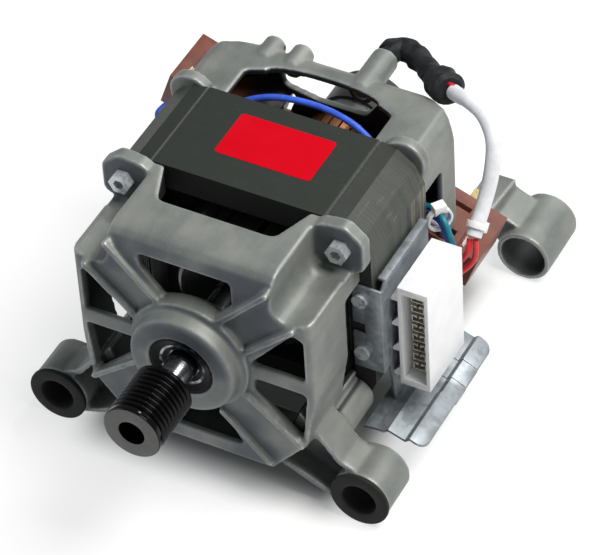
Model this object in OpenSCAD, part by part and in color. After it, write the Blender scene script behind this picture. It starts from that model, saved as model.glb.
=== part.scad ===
// Washing machine motor: a brushed belt-drive motor with two die-cast shields.
// The shaft runs along Y. The origin is on the shaft, in the middle plane of the belt.
// -Y is the belt side, +X the connector side, +Z up. Lengths are in millimetres.

/* [Pulley] */
// Outer diameter over the belt ribs
pulley_d = 23.4; // [18:0.2:30]
// Distance from one belt rib to the next
rib_pitch = 2.34; // [2:0.02:3]
// Number of belt grooves
groove_count = 9; // [6:1:12]
// Depth of a belt groove
groove_depth = 1.7; // [1:0.1:2.2]
// Length of the plain collar at the front of the pulley
pulley_front_collar = 2.2; // [1:0.1:4]
// Length of the plain collar at the back of the pulley
pulley_back_collar = 1.2; // [0.6:0.1:3]
// Diameter of the shaft seat in the pulley
pulley_bore_d = 9; // [7:0.5:10]
// Diameter of the mouth at the front of the pulley
pulley_mouth_d = 10.6; // [10.2:0.2:13]
// Depth of the mouth at the front of the pulley
pulley_mouth_l = 7; // [4:0.5:9]

/* [Shaft and bearings] */
// Diameter of the front bearing seat
front_journal_d = 12; // [10:0.5:14]
// Outer diameter of the front bearing
front_bearing_d = 32; // [28:0.5:34]
// Width of the front bearing
front_bearing_w = 10; // [8:0.5:11]
// Diameter of the rear bearing seat
rear_journal_d = 8; // [7:0.5:9]
// Outer diameter of the rear bearing
rear_bearing_d = 22; // [20:0.5:26]
// Width of the rear bearing
rear_bearing_w = 7; // [6:0.5:8]
// Number of balls in a bearing
ball_count = 8; // [6:1:9]
// Diameter of the shaft inside the rotor
rotor_shaft_d = 14; // [12.6:0.2:15]

/* [Stator] */
// Width of the lamination stack
stator_w = 108; // [104:1:116]
// Height of the lamination stack
stator_h = 94; // [90:1:100]
// Length of the lamination stack
stack_l = 45; // [35:1:60]
// Width of the flat on top of the stack
stator_flat_w = 70; // [60:1:76]
// Diameter of the rotor bore
stator_bore_d = 55; // [50:0.5:56]
// Height of a pole neck
pole_neck_h = 34; // [28:1:38]
// Half angle of a pole shoe
pole_half_angle = 60; // [50:1:64]
// Distance from the side of the stack to a stator screw
screw_side_inset = 9; // [8:0.5:11]
// Distance from the top of the stack to a stator screw
screw_top_inset = 7.5; // [7:0.5:9]
// Thread diameter of the stator screws
stator_screw_d = 5; // [4:0.5:5]

/* [Rotor] */
// Radial gap between rotor and poles
air_gap = 0.5; // [0.4:0.1:0.8]
// Number of rotor slots
slot_count = 12; // [8:1:16]
// Diameter of the commutator
commutator_d = 34; // [30:0.5:36]
// Length of the commutator
commutator_l = 18; // [16:0.5:18.5]
// Number of commutator bars
bar_count = 24; // [16:2:32]

/* [Front shield] */
// Distance from the belt plane to the front face of the shield
face_y = 34; // [30:0.5:38]
// Distance from the front face to the stack
front_depth = 40; // [36:0.5:46]
// Width of the front shield
front_w = 99; // [97:0.5:104]
// Height of the front shield above the shaft
front_top = 47; // [45:0.5:49]
// Height of the front shield below the shaft
front_bottom = 50.5; // [49:0.5:54]
// Wall thickness of the castings
wall = 3; // [2.5:0.1:3.5]
// Outer diameter of the front hub
front_hub_d = 43; // [40:0.5:46]
// Distance that the front hub stands before the face
front_hub_l = 10.6; // [9:0.2:13]
// Opening in the front of the hub
hub_mouth_d = 26.5; // [24:0.5:28]

/* [Lugs] */
// Spacing of the fixing lugs across
lug_spacing = 129.6; // [124:0.2:140]
// Height of the fixing lugs below the shaft
lug_drop = 54.3; // [52:0.1:58]
// Outer diameter of a lug
lug_d = 23; // [22:0.5:26]
// Bore of a lug
lug_bore_d = 18.5; // [16:0.5:19]
// Length of a front lug
front_lug_l = 18.5; // [16:0.5:22]
// Length of a rear lug
rear_lug_l = 27; // [22:0.5:32]
// Distance from the front face of the shield to the front lugs
front_lug_set = 4; // [3:0.5:6]
// Distance between the front faces of front and rear lugs
lug_pitch_y = 141; // [136:0.5:148]
// Bore of a rubber bush
bush_bore_d = 14; // [10:0.5:14.5]
// Thickness of a bush flange
bush_flange_t = 2; // [1.5:0.1:3]

/* [Rear shield] */
// Depth of the rear shield behind the stack at its middle
rear_depth = 40; // [38:0.5:44]
// Depth of the rear shield behind the stack at its sides
rear_side_depth = 26; // [22:0.5:28]
// Outer diameter of the rear hub
rear_hub_d = 30; // [27.5:0.5:34]
// Diameter of the cable boss
boss_d = 11; // [9:0.5:13]
// Length of the cable boss
boss_l = 11; // [8:0.5:14]
// Sideways place of the cable boss
boss_x = 12.5; // [8:0.5:16]

/* [Brush gear] */
// Tilt of the brush line
brush_tilt = 20; // [14:1:24]
// Reach of a brush holder from the shaft
holder_reach = 69; // [66:0.5:74]
// Height of a brush holder
holder_h = 19; // [18:0.5:21]
// Width of a brush holder along the shaft
holder_w = 27; // [25:0.5:29]
// Width of a carbon brush along the shaft
brush_w = 13; // [10:0.5:15]
// Thickness of a carbon brush
brush_t = 6; // [5:0.5:8]
// Length of a carbon brush
brush_l = 30; // [26:0.5:31]
// Wall of a brush guide
guide_wall = 0.8; // [0.6:0.1:1]

/* [Connector] */
// Height of the connector housing
connector_h = 50; // [46:0.5:54]
// Thickness of the connector housing
connector_t = 12.4; // [11:0.2:14]
// Length of the connector housing along the shaft
connector_l = 29; // [26:0.5:32]
// Number of contacts
contact_count = 8; // [5:1:9]
// Distance from one contact to the next
contact_pitch = 5; // [4.5:0.1:5.2]
// Sheet thickness of the bracket
sheet = 1.2; // [1:0.1:1.5]
// Length of the deflector wing
wing_l = 60; // [56:1:62]
// Width of the deflector wing
wing_w = 25; // [22:0.5:27]

/* [Leads] */
// Diameter of the white lead sleeve
sleeve_d = 6; // [5:0.2:7]
// Diameter of the lead boot
boot_d = 9; // [8:0.5:10]
// Diameter of a single lead
lead_d = 2.6; // [2:0.1:3]

/* [Hidden] */
$fn = 64;

// Fits: free gap between pieces, gap of a seated piece, running gap of a sliding piece
gap = 0.3;
seat = 0.02;
run = 0.1;
// Length by which a cut passes the face that it opens
over = 1;

// Places along the shaft
stack_y0 = face_y + front_depth;
stack_y1 = stack_y0 + stack_l;
pulley_l = groove_count * rib_pitch + pulley_front_collar + pulley_back_collar;
pulley_y0 = -groove_count * rib_pitch / 2 - pulley_front_collar;
pulley_y1 = pulley_y0 + pulley_l;
hub_y0 = face_y - front_hub_l;
hub_lip = 4;
front_bearing_y0 = hub_y0 + hub_lip;
front_bearing_y1 = front_bearing_y0 + front_bearing_w;
rear_y1 = stack_y1 + rear_depth;
rear_side_y1 = stack_y1 + rear_side_depth;
brush_y = stack_y1 + 27;
washer_t = 1;
rear_bearing_y0 = rear_y1 + 3;
rear_bearing_y1 = rear_bearing_y0 + rear_bearing_w;
tacho_y0 = rear_bearing_y1 + washer_t + 2;
magnet_l = 7;
shaft_y0 = pulley_y0 + pulley_mouth_l;
shaft_y1 = tacho_y0 + magnet_l + 1;
front_lug_y0 = face_y + front_lug_set;
front_lug_y1 = front_lug_y0 + front_lug_l;
rear_lug_y0 = front_lug_y0 + lug_pitch_y;
rear_lug_y1 = rear_lug_y0 + rear_lug_l;

// Places across
screw_x = stator_w / 2 - screw_side_inset;
screw_z = stator_h / 2 - screw_top_inset;
lug_x = lug_spacing / 2;
rotor_r = stator_bore_d / 2 - air_gap;

// Height of the field coils: former, wound core and outer layer of turns
former_t = 1;
coil_build = 9;
turn_r = 0.5;
former_z = pole_neck_h / 2 + gap + former_t;
coil_core_build = coil_build - 2 * turn_r - gap;
turn_z = former_z + coil_core_build + gap / 2 + turn_r;
coil_room_z = turn_z + turn_r + gap;

// Colours
cast_grey = [0.50, 0.52, 0.51];
stack_grey = [0.28, 0.30, 0.27];
steel = [0.72, 0.73, 0.75];
zinc = [0.62, 0.66, 0.68];
copper = [0.72, 0.38, 0.20];
phenolic = [0.45, 0.25, 0.19];
black_plastic = [0.12, 0.12, 0.13];
rubber = [0.22, 0.23, 0.22];

// Outline functions
function unit(v) = v / norm(v);
function right_of(v) = [v[1], -v[0]];
function cyc(p, i) = p[(i + len(p)) % len(p)];

// Outline moved outwards by t, for an outline that runs counter-clockwise
function grown(p, t) = [
  for (i = [0:len(p) - 1])
    let (a = right_of(unit(p[i] - cyc(p, i - 1))), b = right_of(unit(cyc(p, i + 1) - p[i])))
      p[i] + (a + b) * t / (1 + a * b)
];

// Points of one corner rounded with radius r
function corner(a, p, b, r, steps) =
  let (u = unit(a - p), v = unit(b - p))
  let (half = acos(u * v) / 2, turn = 180 - 2 * half)
  let (c = p + unit(u + v) * r / sin(half))
  let (s = (p + u * r / tan(half) - c), e = (p + v * r / tan(half) - c))
  [for (k = [0:steps]) c + (sin((steps - k) / steps * turn) * s + sin(k / steps * turn) * e) / sin(turn)];

// Outline with every corner rounded
function rounded(p, r, steps = 3) = [
  for (i = [0:len(p) - 1]) each corner(cyc(p, i - 1), p[i], cyc(p, i + 1), r, steps)
];

// Right half of an outline, top to bottom, made whole by its mirror image
function mirrored(p) = concat(
  [for (i = [len(p) - 1:-1:0]) p[i]],
  [for (q = p) [-q[0], q[1]]]
);

// Draw a flat shape of x and z along Y
module along_y(y0, y1) {
  translate([0, y1, 0]) rotate([90, 0, 0]) linear_extrude(y1 - y0) children();
}

// Draw a flat shape of y and z along X
module along_x(x0, x1) {
  translate([x0, 0, 0]) rotate([90, 0, 90]) linear_extrude(x1 - x0) children();
}

// Draw a flat shape of x and y along Z
module along_z(z0, z1) {
  translate([0, 0, z0]) linear_extrude(z1 - z0) children();
}

// Turn a profile of radius and y about the shaft
module turned() {
  rotate([-90, 0, 0]) rotate_extrude() children();
}

// Round bar along Y
module rod(r, y0, y1) {
  translate([0, y0, 0]) rotate([-90, 0, 0]) cylinder(r = r, h = y1 - y0);
}

// Ring along Y
module ring(r0, r1, y0, y1) {
  difference() {
    rod(r1, y0, y1);
    rod(r0, y0 - over, y1 + over);
  }
}

module at_lugs() {
  for (side = [-1, 1]) translate([side * lug_x, 0, -lug_drop]) children();
}

module at_screws() {
  for (sx = [-1, 1], sz = [-1, 1]) translate([sx * screw_x, 0, sz * screw_z]) children();
}

// Tube swept along points: rings of sides points, joined and closed at both ends
function tangent(p, i) = unit(p[min(i + 1, len(p) - 1)] - p[max(i - 1, 0)]);
function side_of(t) = unit(cross(t, abs(t[2]) < 0.9 ? [0, 0, 1] : [1, 0, 0]));
// Frame carried along the path without twist, for paths that turn in space
function carried(p, i = 0, u = undef) =
  let (t = tangent(p, i), w = u == undef ? side_of(t) : unit(u - t * (u * t)))
  i == len(p) - 1 ? [w] : concat([w], carried(p, i + 1, w));

module tube(p, r, sides) {
  n = len(p);
  side_list = carried(p);
  rings = [
    for (i = [0:n - 1])
      let (t = tangent(p, i), u = side_list[i], v = cross(t, u))
        for (k = [0:sides - 1]) p[i] + r * (u * cos(360 * k / sides) + v * sin(360 * k / sides))
  ];
  walls = [
    for (i = [0:n - 2], k = [0:sides - 1])
      let (a = i * sides + k, b = i * sides + (k + 1) % sides)
        each [[a, a + sides, b], [b, a + sides, b + sides]]
  ];
  caps = [
    for (k = [1:sides - 2])
      let (e = (n - 1) * sides)
        each [[0, k, k + 1], [e, e + k + 1, e + k]]
  ];
  polyhedron(points = rings, faces = concat(walls, caps));
}

// Smooth curve through route points, with steps rings between two points
function spline_point(a, b, c, d, t) =
  0.5 * (2 * b + (c - a) * t + (2 * a - 5 * b + 4 * c - d) * t * t + (3 * b - a - 3 * c + d) * t * t * t);
function smooth(p, steps) = concat(
  [
    for (i = [0:len(p) - 2], k = [0:steps - 1])
      spline_point(p[max(i - 1, 0)], p[i], p[i + 1], p[min(i + 2, len(p) - 1)], k / steps)
  ],
  [p[len(p) - 1]]
);

// Front shield

// Front outline, right half from the top: flat, cut corner, side, drawn-in foot
front_half = [
  [screw_x - 8, front_top],
  [front_w / 2, 35],
  [front_w / 2, -8],
  [front_w / 2 - 4, -32],
  [30, -front_bottom]
];
front_outline = mirrored(front_half);
front_fold_r = 9;
front_edge_r = 4;
front_side_l = 28;
front_left_l = 20;
front_band_l = 23;
floor_slot_w = 56;
// Slot behind the top band: its width at the band, and how much it widens on each side over its length
slot_w = 48;
slot_flare = 9;
slot_r = 3.5;
post_z = 20;
post_z_low = 28;

// Body of the casting, drawn in by t all round
module front_body(t) {
  y0 = face_y + t;
  fold = front_fold_r - t;
  edge = front_edge_r - t;
  x = front_w / 2 - t;
  intersection() {
    along_y(y0, stack_y0 + (t > 0 ? over : 0)) polygon(grown(front_outline, -t));
    along_z(-100, 100)
      polygon(concat(
        corner([-x, stack_y0 + 2], [-x, y0], [x, y0], edge, 4),
        corner([-x, y0], [x, y0], [x, stack_y0 + 2], edge, 4),
        [[x, stack_y0 + 2], [-x, stack_y0 + 2]]
      ));
    along_x(-100, 100)
      polygon(concat(
        corner([stack_y0 + 2, front_top - t], [y0, front_top - t], [y0, -100], fold, 4),
        [[y0, -100], [stack_y0 + 2, -100], [stack_y0 + 2, front_top - t]]
      ));
  }
}

// Windows in the front face, as outlines of x and z
function flipped(p) = [for (i = [len(p) - 1:-1:0]) [-p[i][0], p[i][1]]];
rib_z0 = -5.2;
rib_z1 = 1.6;
window_edge = front_w / 2 - wall - 0.5;
upper_window = [[-21, 40], [-20, 34], [-9, 20], [9, 20], [17.5, 29], [17.5, 40]];
side_high_window = [[23, rib_z1], [window_edge, rib_z1], [window_edge, 22], [42, 24]];
side_low_window = [[25, rib_z0], [24.5, -11], [43, -29], [window_edge - 2, -27], [window_edge, -9],
  [window_edge, rib_z0]];
low_window = [[-19, -44], [19, -44], [8, -26], [-8, -26]];

module front_windows() {
  along_y(face_y - over, face_y + front_fold_r) {
    polygon(rounded(upper_window, 1.5));
    for (p = [side_high_window, side_low_window]) {
      polygon(rounded(p, 1.2));
      polygon(rounded(flipped(p), 1.2));
    }
    polygon(rounded(low_window, 1.5));
  }
}

// Raised edge rib of an arm, from point a to point b on the front face
rib_w = 2.4;
rib_rise = 2.6;
module arm_rib(a, b) {
  d = unit(b - a) * rib_w / 2;
  n = right_of(d);
  along_y(face_y - rib_rise, face_y + wall)
    polygon(rounded([a - d - n, b + d - n, b + d + n, a - d + n], rib_w / 2 - 0.2));
}

// Notch in each upper corner, which gives the driver its way to a stator screw: an outline of x and z
// that is open to the outside. The floor rises by a step before the end turns of the field coils.
ear_t = 6;
ear_y0 = stack_y0 - ear_t;
notch_step_y = stack_y0 - 12;
notch_x = screw_x - 11;
notch_r = 6;
notch_floor = screw_z - 12.5;
notch_shelf = 2;
notch_back_floor = coil_room_z + notch_shelf;
function notch(z, slope) =
  let (p = [notch_x, z], q = [front_w, z + slope * (front_w - notch_x)])
    concat([[notch_x, front_w]], corner([notch_x, front_w], p, q, notch_r, 4), [q, [front_w, front_w]]);
front_notch = notch(notch_floor, 0.28);
back_notch = notch(notch_back_floor, 0.05);

module notches() {
  for (side = [0, 1]) mirror([side, 0, 0]) {
    along_y(face_y - over, notch_step_y) polygon(front_notch);
    along_y(notch_step_y - over, ear_y0) polygon(back_notch);
  }
}

// Walls of the notches, and the ear behind each as a broad plate round its screw
ear_z0 = notch_back_floor - 1 - screw_z;
ear_plate = [[-14.5, ear_z0 + 2], [-1, ear_z0], [9.5, ear_z0 + 1.5], [9.5, 4.5], [2, 11], [-8, 9.5],
  [-14.5, 4.5]];
module upper_ears() {
  intersection() {
    for (side = [0, 1]) mirror([side, 0, 0]) {
      along_y(face_y + 2, notch_step_y) polygon(grown(front_notch, wall));
      along_y(notch_step_y - over, stack_y0) polygon(grown(back_notch, notch_shelf));
    }
    front_body(0);
  }
  for (side = [0, 1]) mirror([side, 0, 0]) translate([screw_x, 0, screw_z])
    along_y(ear_y0, stack_y0) polygon(rounded(ear_plate, 4));
}

pocket_r = 8;
module lower_ears() {
  for (side = [-1, 1]) translate([side * screw_x, 0, -screw_z]) {
    rod(pocket_r, face_y + 14, stack_y0);
  }
}

// Web from the lower corner of the body to a lug
web_t = 15;
lug_web = [[40, -20], [lug_x - 8, -lug_drop + 14], [lug_x, -lug_drop + lug_d / 2 - 1],
  [lug_x, -lug_drop - lug_d / 2 + 1], [lug_x - 16, -lug_drop - 6], [28, -front_bottom], [33, -36]];
web_wall = 2.4;
web_skin = 0.4;
module lug_webs(y0, y1) {
  for (side = [0, 1]) mirror([side, 0, 0]) along_y(y0, y1) polygon(lug_web);
}

// Pocket that leaves the edges of a web, with a skin on the body and on the lug
module web_pockets(y0, y1) {
  for (side = [0, 1]) mirror([side, 0, 0]) difference() {
    along_y(y0, y1) polygon(rounded(grown(lug_web, web_wall), 1.5));
    along_y(y0 - over, y1 + over) polygon(grown(front_outline, web_skin));
    translate([lug_x, 0, -lug_drop]) rod(lug_d / 2 + web_skin, y0 - over, y1 + over);
  }
}

module front_shield() {
  color(cast_grey) difference() {
    union() {
      difference() {
        front_body(0);
        front_body(wall);
        front_windows();
        // Open behind the top band, the side walls and the floor, between the corner posts
        along_z(0, front_w) polygon(rounded([
          [-slot_w / 2, face_y + front_band_l], [slot_w / 2, face_y + front_band_l],
          [slot_w / 2 + slot_flare, stack_y0 + 2 * slot_r],
          [-slot_w / 2 - slot_flare, stack_y0 + 2 * slot_r]
        ], slot_r));
        translate([0, face_y + front_side_l, -post_z_low])
          cube([front_w, front_depth, post_z + post_z_low]);
        translate([-front_w, face_y + front_left_l, -post_z_low])
          cube([front_w, front_depth, post_z + post_z_low]);
        translate([-floor_slot_w / 2, face_y + front_side_l, -front_w])
          cube([floor_slot_w, front_depth, front_w]);
        // Room for the end turns of the field coils
        translate([-coil_x1 - gap, notch_step_y, -coil_room_z])
          cube([2 * (coil_x1 + gap), front_depth, 2 * coil_room_z]);
      }
      upper_ears();
      lower_ears();
      lug_webs(front_lug_y0 + 1, front_lug_y0 + 1 + web_t);
      at_lugs() rod(lug_d / 2, front_lug_y0, front_lug_y1);
      // Hub with its stepped collar
      turned() polygon(concat(
        [[0, front_bearing_y1 + 3], [0, hub_y0]],
        corner([0, hub_y0], [front_hub_d / 2, hub_y0], [front_hub_d / 2 + 1, face_y], 2.5, 4),
        [[front_hub_d / 2 + 1, face_y - 4], [front_hub_d / 2 + 3, face_y - 3.4],
          [front_hub_d / 2 + 3.4, face_y + wall], [front_hub_d / 2, front_bearing_y1 + 3]]
      ));
      // Edge ribs of the four arms
      for (side = [0, 1]) mirror([side, 0, 0]) {
        arm_rib([19, 6], [window_edge - 3, 28]);
        arm_rib([11, 19], [33, 42]);
        arm_rib([22, -13], [window_edge - 2, -31]);
        arm_rib([11, -26], [30, -46]);
      }
    }
    notches();
    for (side = [-1, 1]) translate([side * screw_x, 0, -screw_z])
      rod(pocket_r - wall, face_y + 10, ear_y0);
    at_screws() rod(stator_screw_d / 2 + run, ear_y0 - over, stack_y0 + over);
    web_pockets(face_y - over, front_lug_y0 + web_t - wall);
    at_lugs() rod(lug_bore_d / 2, front_lug_y0 - over, front_lug_y1 + over);
    // Bearing seat and hub mouth
    rod(front_bearing_d / 2 + seat, front_bearing_y0, front_bearing_y1 + 4);
    rod(hub_mouth_d / 2, hub_y0 - over, front_bearing_y0 + over);
  }
}

// Stator stack

// Lamination outline, right half from the top: flat, broken corner, side
stator_half = [
  [stator_flat_w / 2, stator_h / 2],
  [stator_flat_w / 2 + 8, stator_h / 2 - 1.5],
  [stator_w / 2 - 3.5, stator_h / 2 - 7],
  [stator_w / 2, stator_h / 2 - 15]
];
stator_outline = mirrored(concat(stator_half,
  [for (i = [3:-1:0]) [stator_half[i][0], -stator_half[i][1]]]));

// Rear shield

rear_fold_r = 11;
rear_top = stator_h / 2 - 4.5;
rear_flat_w = 64;
module rear_body(t) {
  x = stator_w / 2 - t;
  y0 = stack_y1 - (t > 0 ? over : 0);
  y1 = rear_y1 - t;
  intersection() {
    along_y(y0, y1) polygon(grown(stator_outline, -t));
    along_z(-100, 100) polygon(rounded(
      [[-x, y0 - 20], [x, y0 - 20], [x, rear_side_y1 - t / 2], [rear_flat_w / 2 - t / 2, y1],
        [-rear_flat_w / 2 + t / 2, y1], [-x, rear_side_y1 - t / 2]], 4));
    along_x(-100, 100) polygon(concat(
      [[y0 - 20, rear_top - t], [y0 - 20, -rear_top + t]],
      corner([y0, -rear_top + t], [y1, -rear_top + t], [y1, 0], rear_fold_r - t, 4),
      corner([y1, 0], [y1, rear_top - t], [y0, rear_top - t], rear_fold_r - t, 4)
    ));
  }
}

// Openings in the arched band and the side walls
rear_window_w = 62;
rear_window_l = 27;
side_window_l = 14;
side_window_z0 = -26;
side_window_z1 = 27;
module rear_windows() {
  along_z(-stator_h, stator_h) polygon(concat(
    [[rear_window_w / 2, stack_y1 - over], [rear_window_w / 2, stack_y1 + rear_window_l - 8]],
    [for (a = [0:15:180]) [(rear_window_w / 2 - 7) * cos(a), stack_y1 + rear_window_l - 5 + 5 * sin(a)]],
    [[-rear_window_w / 2, stack_y1 + rear_window_l - 8], [-rear_window_w / 2, stack_y1 - over]]
  ));
  along_x(-stator_w, stator_w) polygon(rounded([[stack_y1 - 6, side_window_z0],
    [stack_y1 + side_window_l, side_window_z0], [stack_y1 + side_window_l, side_window_z1],
    [stack_y1 - 6, side_window_z1]], 3));
  // Vents of the rear face, between the arms: alike after half a turn, as the brush line is
  along_y(rear_y1 - rear_fold_r, rear_y1 + over) for (turn = [0, 180]) rotate(turn)
    polygon(rounded([[-10, rear_hub_d / 2 + 4], [10, rear_hub_d / 2 + 4], [22, rear_top - 5.5],
      [-27, rear_top - 5.5], [-25, rear_hub_d / 2 + 7]], 3));
}

// Turn to the line of the brushes, with the outward direction along X
module at_brush(side) {
  rotate([0, brush_tilt, 0]) translate([0, brush_y, 0]) mirror([side < 0 ? 1 : 0, 0, 0]) children();
}

// Legs that carry the rear lugs
leg_x0 = 40;
leg_t = 12;
leg_z = -stator_h / 2;
rear_web = [[leg_x0, leg_z + 13], [lug_x - 3, -lug_drop + lug_d / 2 - 0.5],
  [lug_x + 2, -lug_drop - lug_d / 2 + 0.5], [leg_x0 + 4, leg_z]];
rear_web_y0 = rear_lug_y0 + 4;
rear_web_y1 = rear_lug_y1 - 5;
boss_z = rear_top - boss_d / 2 + 1;
module rear_legs() {
  for (side = [0, 1]) mirror([side, 0, 0]) {
    along_x(leg_x0, leg_x0 + leg_t) polygon([[rear_side_y1 - 8, leg_z + 17],
      [rear_side_y1 - 8, leg_z + 3], [rear_web_y0, leg_z], [rear_web_y1, leg_z], [rear_web_y1, leg_z + 11],
      [rear_side_y1 + 12, leg_z + 17]]);
    along_y(rear_web_y0, rear_web_y1) polygon([for (i = [3:-1:0]) rear_web[i]]);
  }
}

holder_gap = gap;
foot_r = 9;
foot_t = 5;
module rear_shield() {
  color(cast_grey) difference() {
    union() {
      difference() {
        rear_body(0);
        rear_body(wall);
        rear_windows();
      }
      // Corner posts that take the stator screws, on feet that stand past the corners of the stack
      difference() {
        union() {
          intersection() {
            at_screws() rod(pocket_r, stack_y1, rear_side_y1 - 2);
            rear_body(0);
          }
          at_screws() rod(foot_r, stack_y1, stack_y1 + foot_t);
        }
        translate([-stator_w, stack_y1 - over, -coil_room_z])
          cube([2 * stator_w, rear_depth, 2 * coil_room_z]);
      }
      rear_legs();
      at_lugs() rod(lug_d / 2, rear_lug_y0, rear_lug_y1);
      // Rear hub
      rod(rear_hub_d / 2, rear_y1 - wall, rear_bearing_y1 + washer_t + 1);
      // Cable boss
      translate([boss_x, 0, boss_z]) rod(boss_d / 2, rear_y1 - rear_fold_r, rear_y1 + boss_l);
      // Bumps on the rear edge of the band
      for (x = [-29, -17]) translate([x, 0, rear_top - 3.5]) rod(4.5, rear_y1 - 11, rear_y1 + 0.5);
    }
    // Through the hub for the shaft, the bearing seat and the tacho side
    rod(rear_journal_d / 2 + 3.5, rear_y1 - 10, rear_bearing_y0 + over);
    rod(rear_bearing_d / 2 + seat, rear_bearing_y0, rear_bearing_y1 + washer_t + 2);
    at_screws() rod(stator_screw_d / 2 - 0.25, stack_y1 - over, rear_side_y1 - 4);
    at_lugs() rod(lug_bore_d / 2, rear_lug_y0 - over, rear_lug_y1 + over);
    translate([boss_x, 0, boss_z])
      rod(boss_d / 2 - 2.5, rear_y1 - rear_fold_r - 2, rear_y1 + boss_l + over);
    // Ways for the brush holders
    for (side = [-1, 1]) at_brush(side)
      translate([25, -holder_w / 2 - holder_gap, -holder_h / 2 - holder_gap])
        cube([60, holder_w + 2 * holder_gap, holder_h + 2 * holder_gap]);
  }
}

// Stator core: two poles on the X axis inside a closed yoke
yoke_x = stator_w / 2 - 9;
yoke_z = stator_h / 2 - 11.5;
yoke_r = 4;
shoe_t = 4.5;
crease_w = 1.2;
module pole() {
  difference() {
    union() {
      translate([stator_bore_d / 2 - 4, -pole_neck_h / 2])
        square([yoke_x - stator_bore_d / 2 + 5, pole_neck_h]);
      intersection() {
        circle(d = stator_bore_d + 2 * shoe_t);
        polygon([[0, 0], [60, -60 * tan(pole_half_angle)], [60, 60 * tan(pole_half_angle)]]);
      }
    }
    circle(d = stator_bore_d);
  }
}

module stator_core() {
  color(stack_grey) difference() {
    along_y(stack_y0, stack_y1) {
      difference() {
        polygon(stator_outline);
        polygon(rounded([[-yoke_x, -yoke_z], [yoke_x, -yoke_z], [yoke_x, yoke_z], [-yoke_x, yoke_z]],
          yoke_r));
      }
      pole();
      mirror([1, 0]) pole();
    }
    at_screws() rod(stator_screw_d / 2 + run, stack_y0 - over, stack_y1 + over);
    // Creases beside the flats
    for (sx = [-1, 1], sz = [-1, 1])
      translate([sx * (stator_flat_w / 2 + crease_w), stack_mid, sz * stator_h / 2]) rotate([0, 45, 0])
        cube([crease_w, stack_l + 2 * over, crease_w], center = true);
    at_rivets() rod(rivet_d / 2 + seat, stack_y0 - over, stack_y0 + rivet_l);
  }
}

// Former and coil of one pole, on the +X side
coil_x0 = stator_bore_d / 2 + shoe_t + 1.2;
coil_x1 = yoke_x - gap;
former_y = stack_l / 2 + gap + former_t;
coil_corner = 2;
turn_count = 6;
stack_mid = (stack_y0 + stack_y1) / 2;

// Racetrack of y and z round a pole, grown by t
module coil_outline(t) {
  polygon(rounded([[-former_y - t, -former_z - t], [former_y + t, -former_z - t],
    [former_y + t, former_z + t], [-former_y - t, former_z + t]], coil_corner + t, 4));
}

module coil_former(side) {
  color(black_plastic) mirror([side < 0 ? 1 : 0, 0, 0]) translate([0, stack_mid, 0]) {
    along_x(coil_x0, coil_x1) difference() {
      coil_outline(0);
      square([stack_l + 2 * gap, pole_neck_h + 2 * gap], center = true);
    }
    // End cheeks that keep the turns off the rotor
    for (end = [0, 1]) mirror([0, end, 0])
      translate([coil_x0, former_y - former_t, -former_z])
        cube([former_t, coil_build + former_t, 2 * former_z]);
  }
}

coil_side_gap = former_t + gap;
module field_coil(side) {
  color(copper * 0.8) mirror([side < 0 ? 1 : 0, 0, 0]) translate([0, stack_mid, 0])
    along_x(coil_x0 + coil_side_gap, coil_x1) difference() {
      coil_outline(coil_core_build);
      coil_outline(gap / 2);
    }
}

// Outer layer of turns: a racetrack that steps across once a turn
turn_rings = 24;
turn_pitch = (coil_x1 - coil_x0 - coil_side_gap - 2 * turn_r) / turn_count;
turn_y = former_y + coil_core_build + gap / 2 + turn_r;
turn_corner = coil_corner + coil_core_build + gap / 2 + turn_r;
quarter_rings = turn_rings / 4;
function racetrack(j) =
  let (q = floor(j / quarter_rings), a = q * 90 + (j % quarter_rings) * 90 / (quarter_rings - 1))
  let (sy = q == 0 || q == 3 ? 1 : -1, sz = q < 2 ? 1 : -1)
  [sy * (turn_y - turn_corner), sz * (turn_z - turn_corner)] + turn_corner * [cos(a), sin(a)];
function coil_path(n) = [
  for (i = [0:n * turn_rings])
    let (p = racetrack(i % turn_rings))
      [coil_x0 + coil_side_gap + turn_r + i / turn_rings * turn_pitch, p[0], p[1]]
];
turn_points = coil_path(turn_count);
turn_gap = min([for (i = [0:len(turn_points) - 1 - turn_rings])
  norm(turn_points[i + turn_rings] - turn_points[i])]) - 2 * turn_r;
echo(least_gap_between_coil_turns = turn_gap);

module field_turns(side) {
  color(copper) mirror([side < 0 ? 1 : 0, 0, 0]) translate([0, stack_mid, 0]) tube(turn_points, turn_r, 6);
}

// Long screws: hexagon head on the front ear, thread in the rear post
screw_head_h = 4;
screw_head_d = 9;
screw_key_d = 4.5;
screw_key_l = 2.5;
module hexagon(d, y0, y1) {
  translate([0, y0, 0]) rotate([-90, 0, 0]) cylinder(d = d, h = y1 - y0, $fn = 6);
}
module stator_screws() {
  color(zinc) at_screws() {
    rod(stator_screw_d / 2 - 0.25 - run, ear_y0, rear_side_y1 - 6);
    difference() {
      hexagon(screw_head_d, ear_y0 - screw_head_h, ear_y0);
      hexagon(screw_key_d, ear_y0 - screw_head_h - over, ear_y0 - screw_head_h + screw_key_l);
    }
  }
}

// Rubber bush in a front lug
module lug_bush(side) {
  color(rubber) translate([side * lug_x, 0, -lug_drop]) difference() {
    union() {
      rod(lug_bore_d / 2 - seat, front_lug_y0 - bush_flange_t, front_lug_y1);
      rod(lug_d / 2 + 0.5, front_lug_y0 - bush_flange_t, front_lug_y0);
    }
    rod(bush_bore_d / 2, front_lug_y0 - bush_flange_t - over, front_lug_y1 + over);
  }
}

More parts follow.
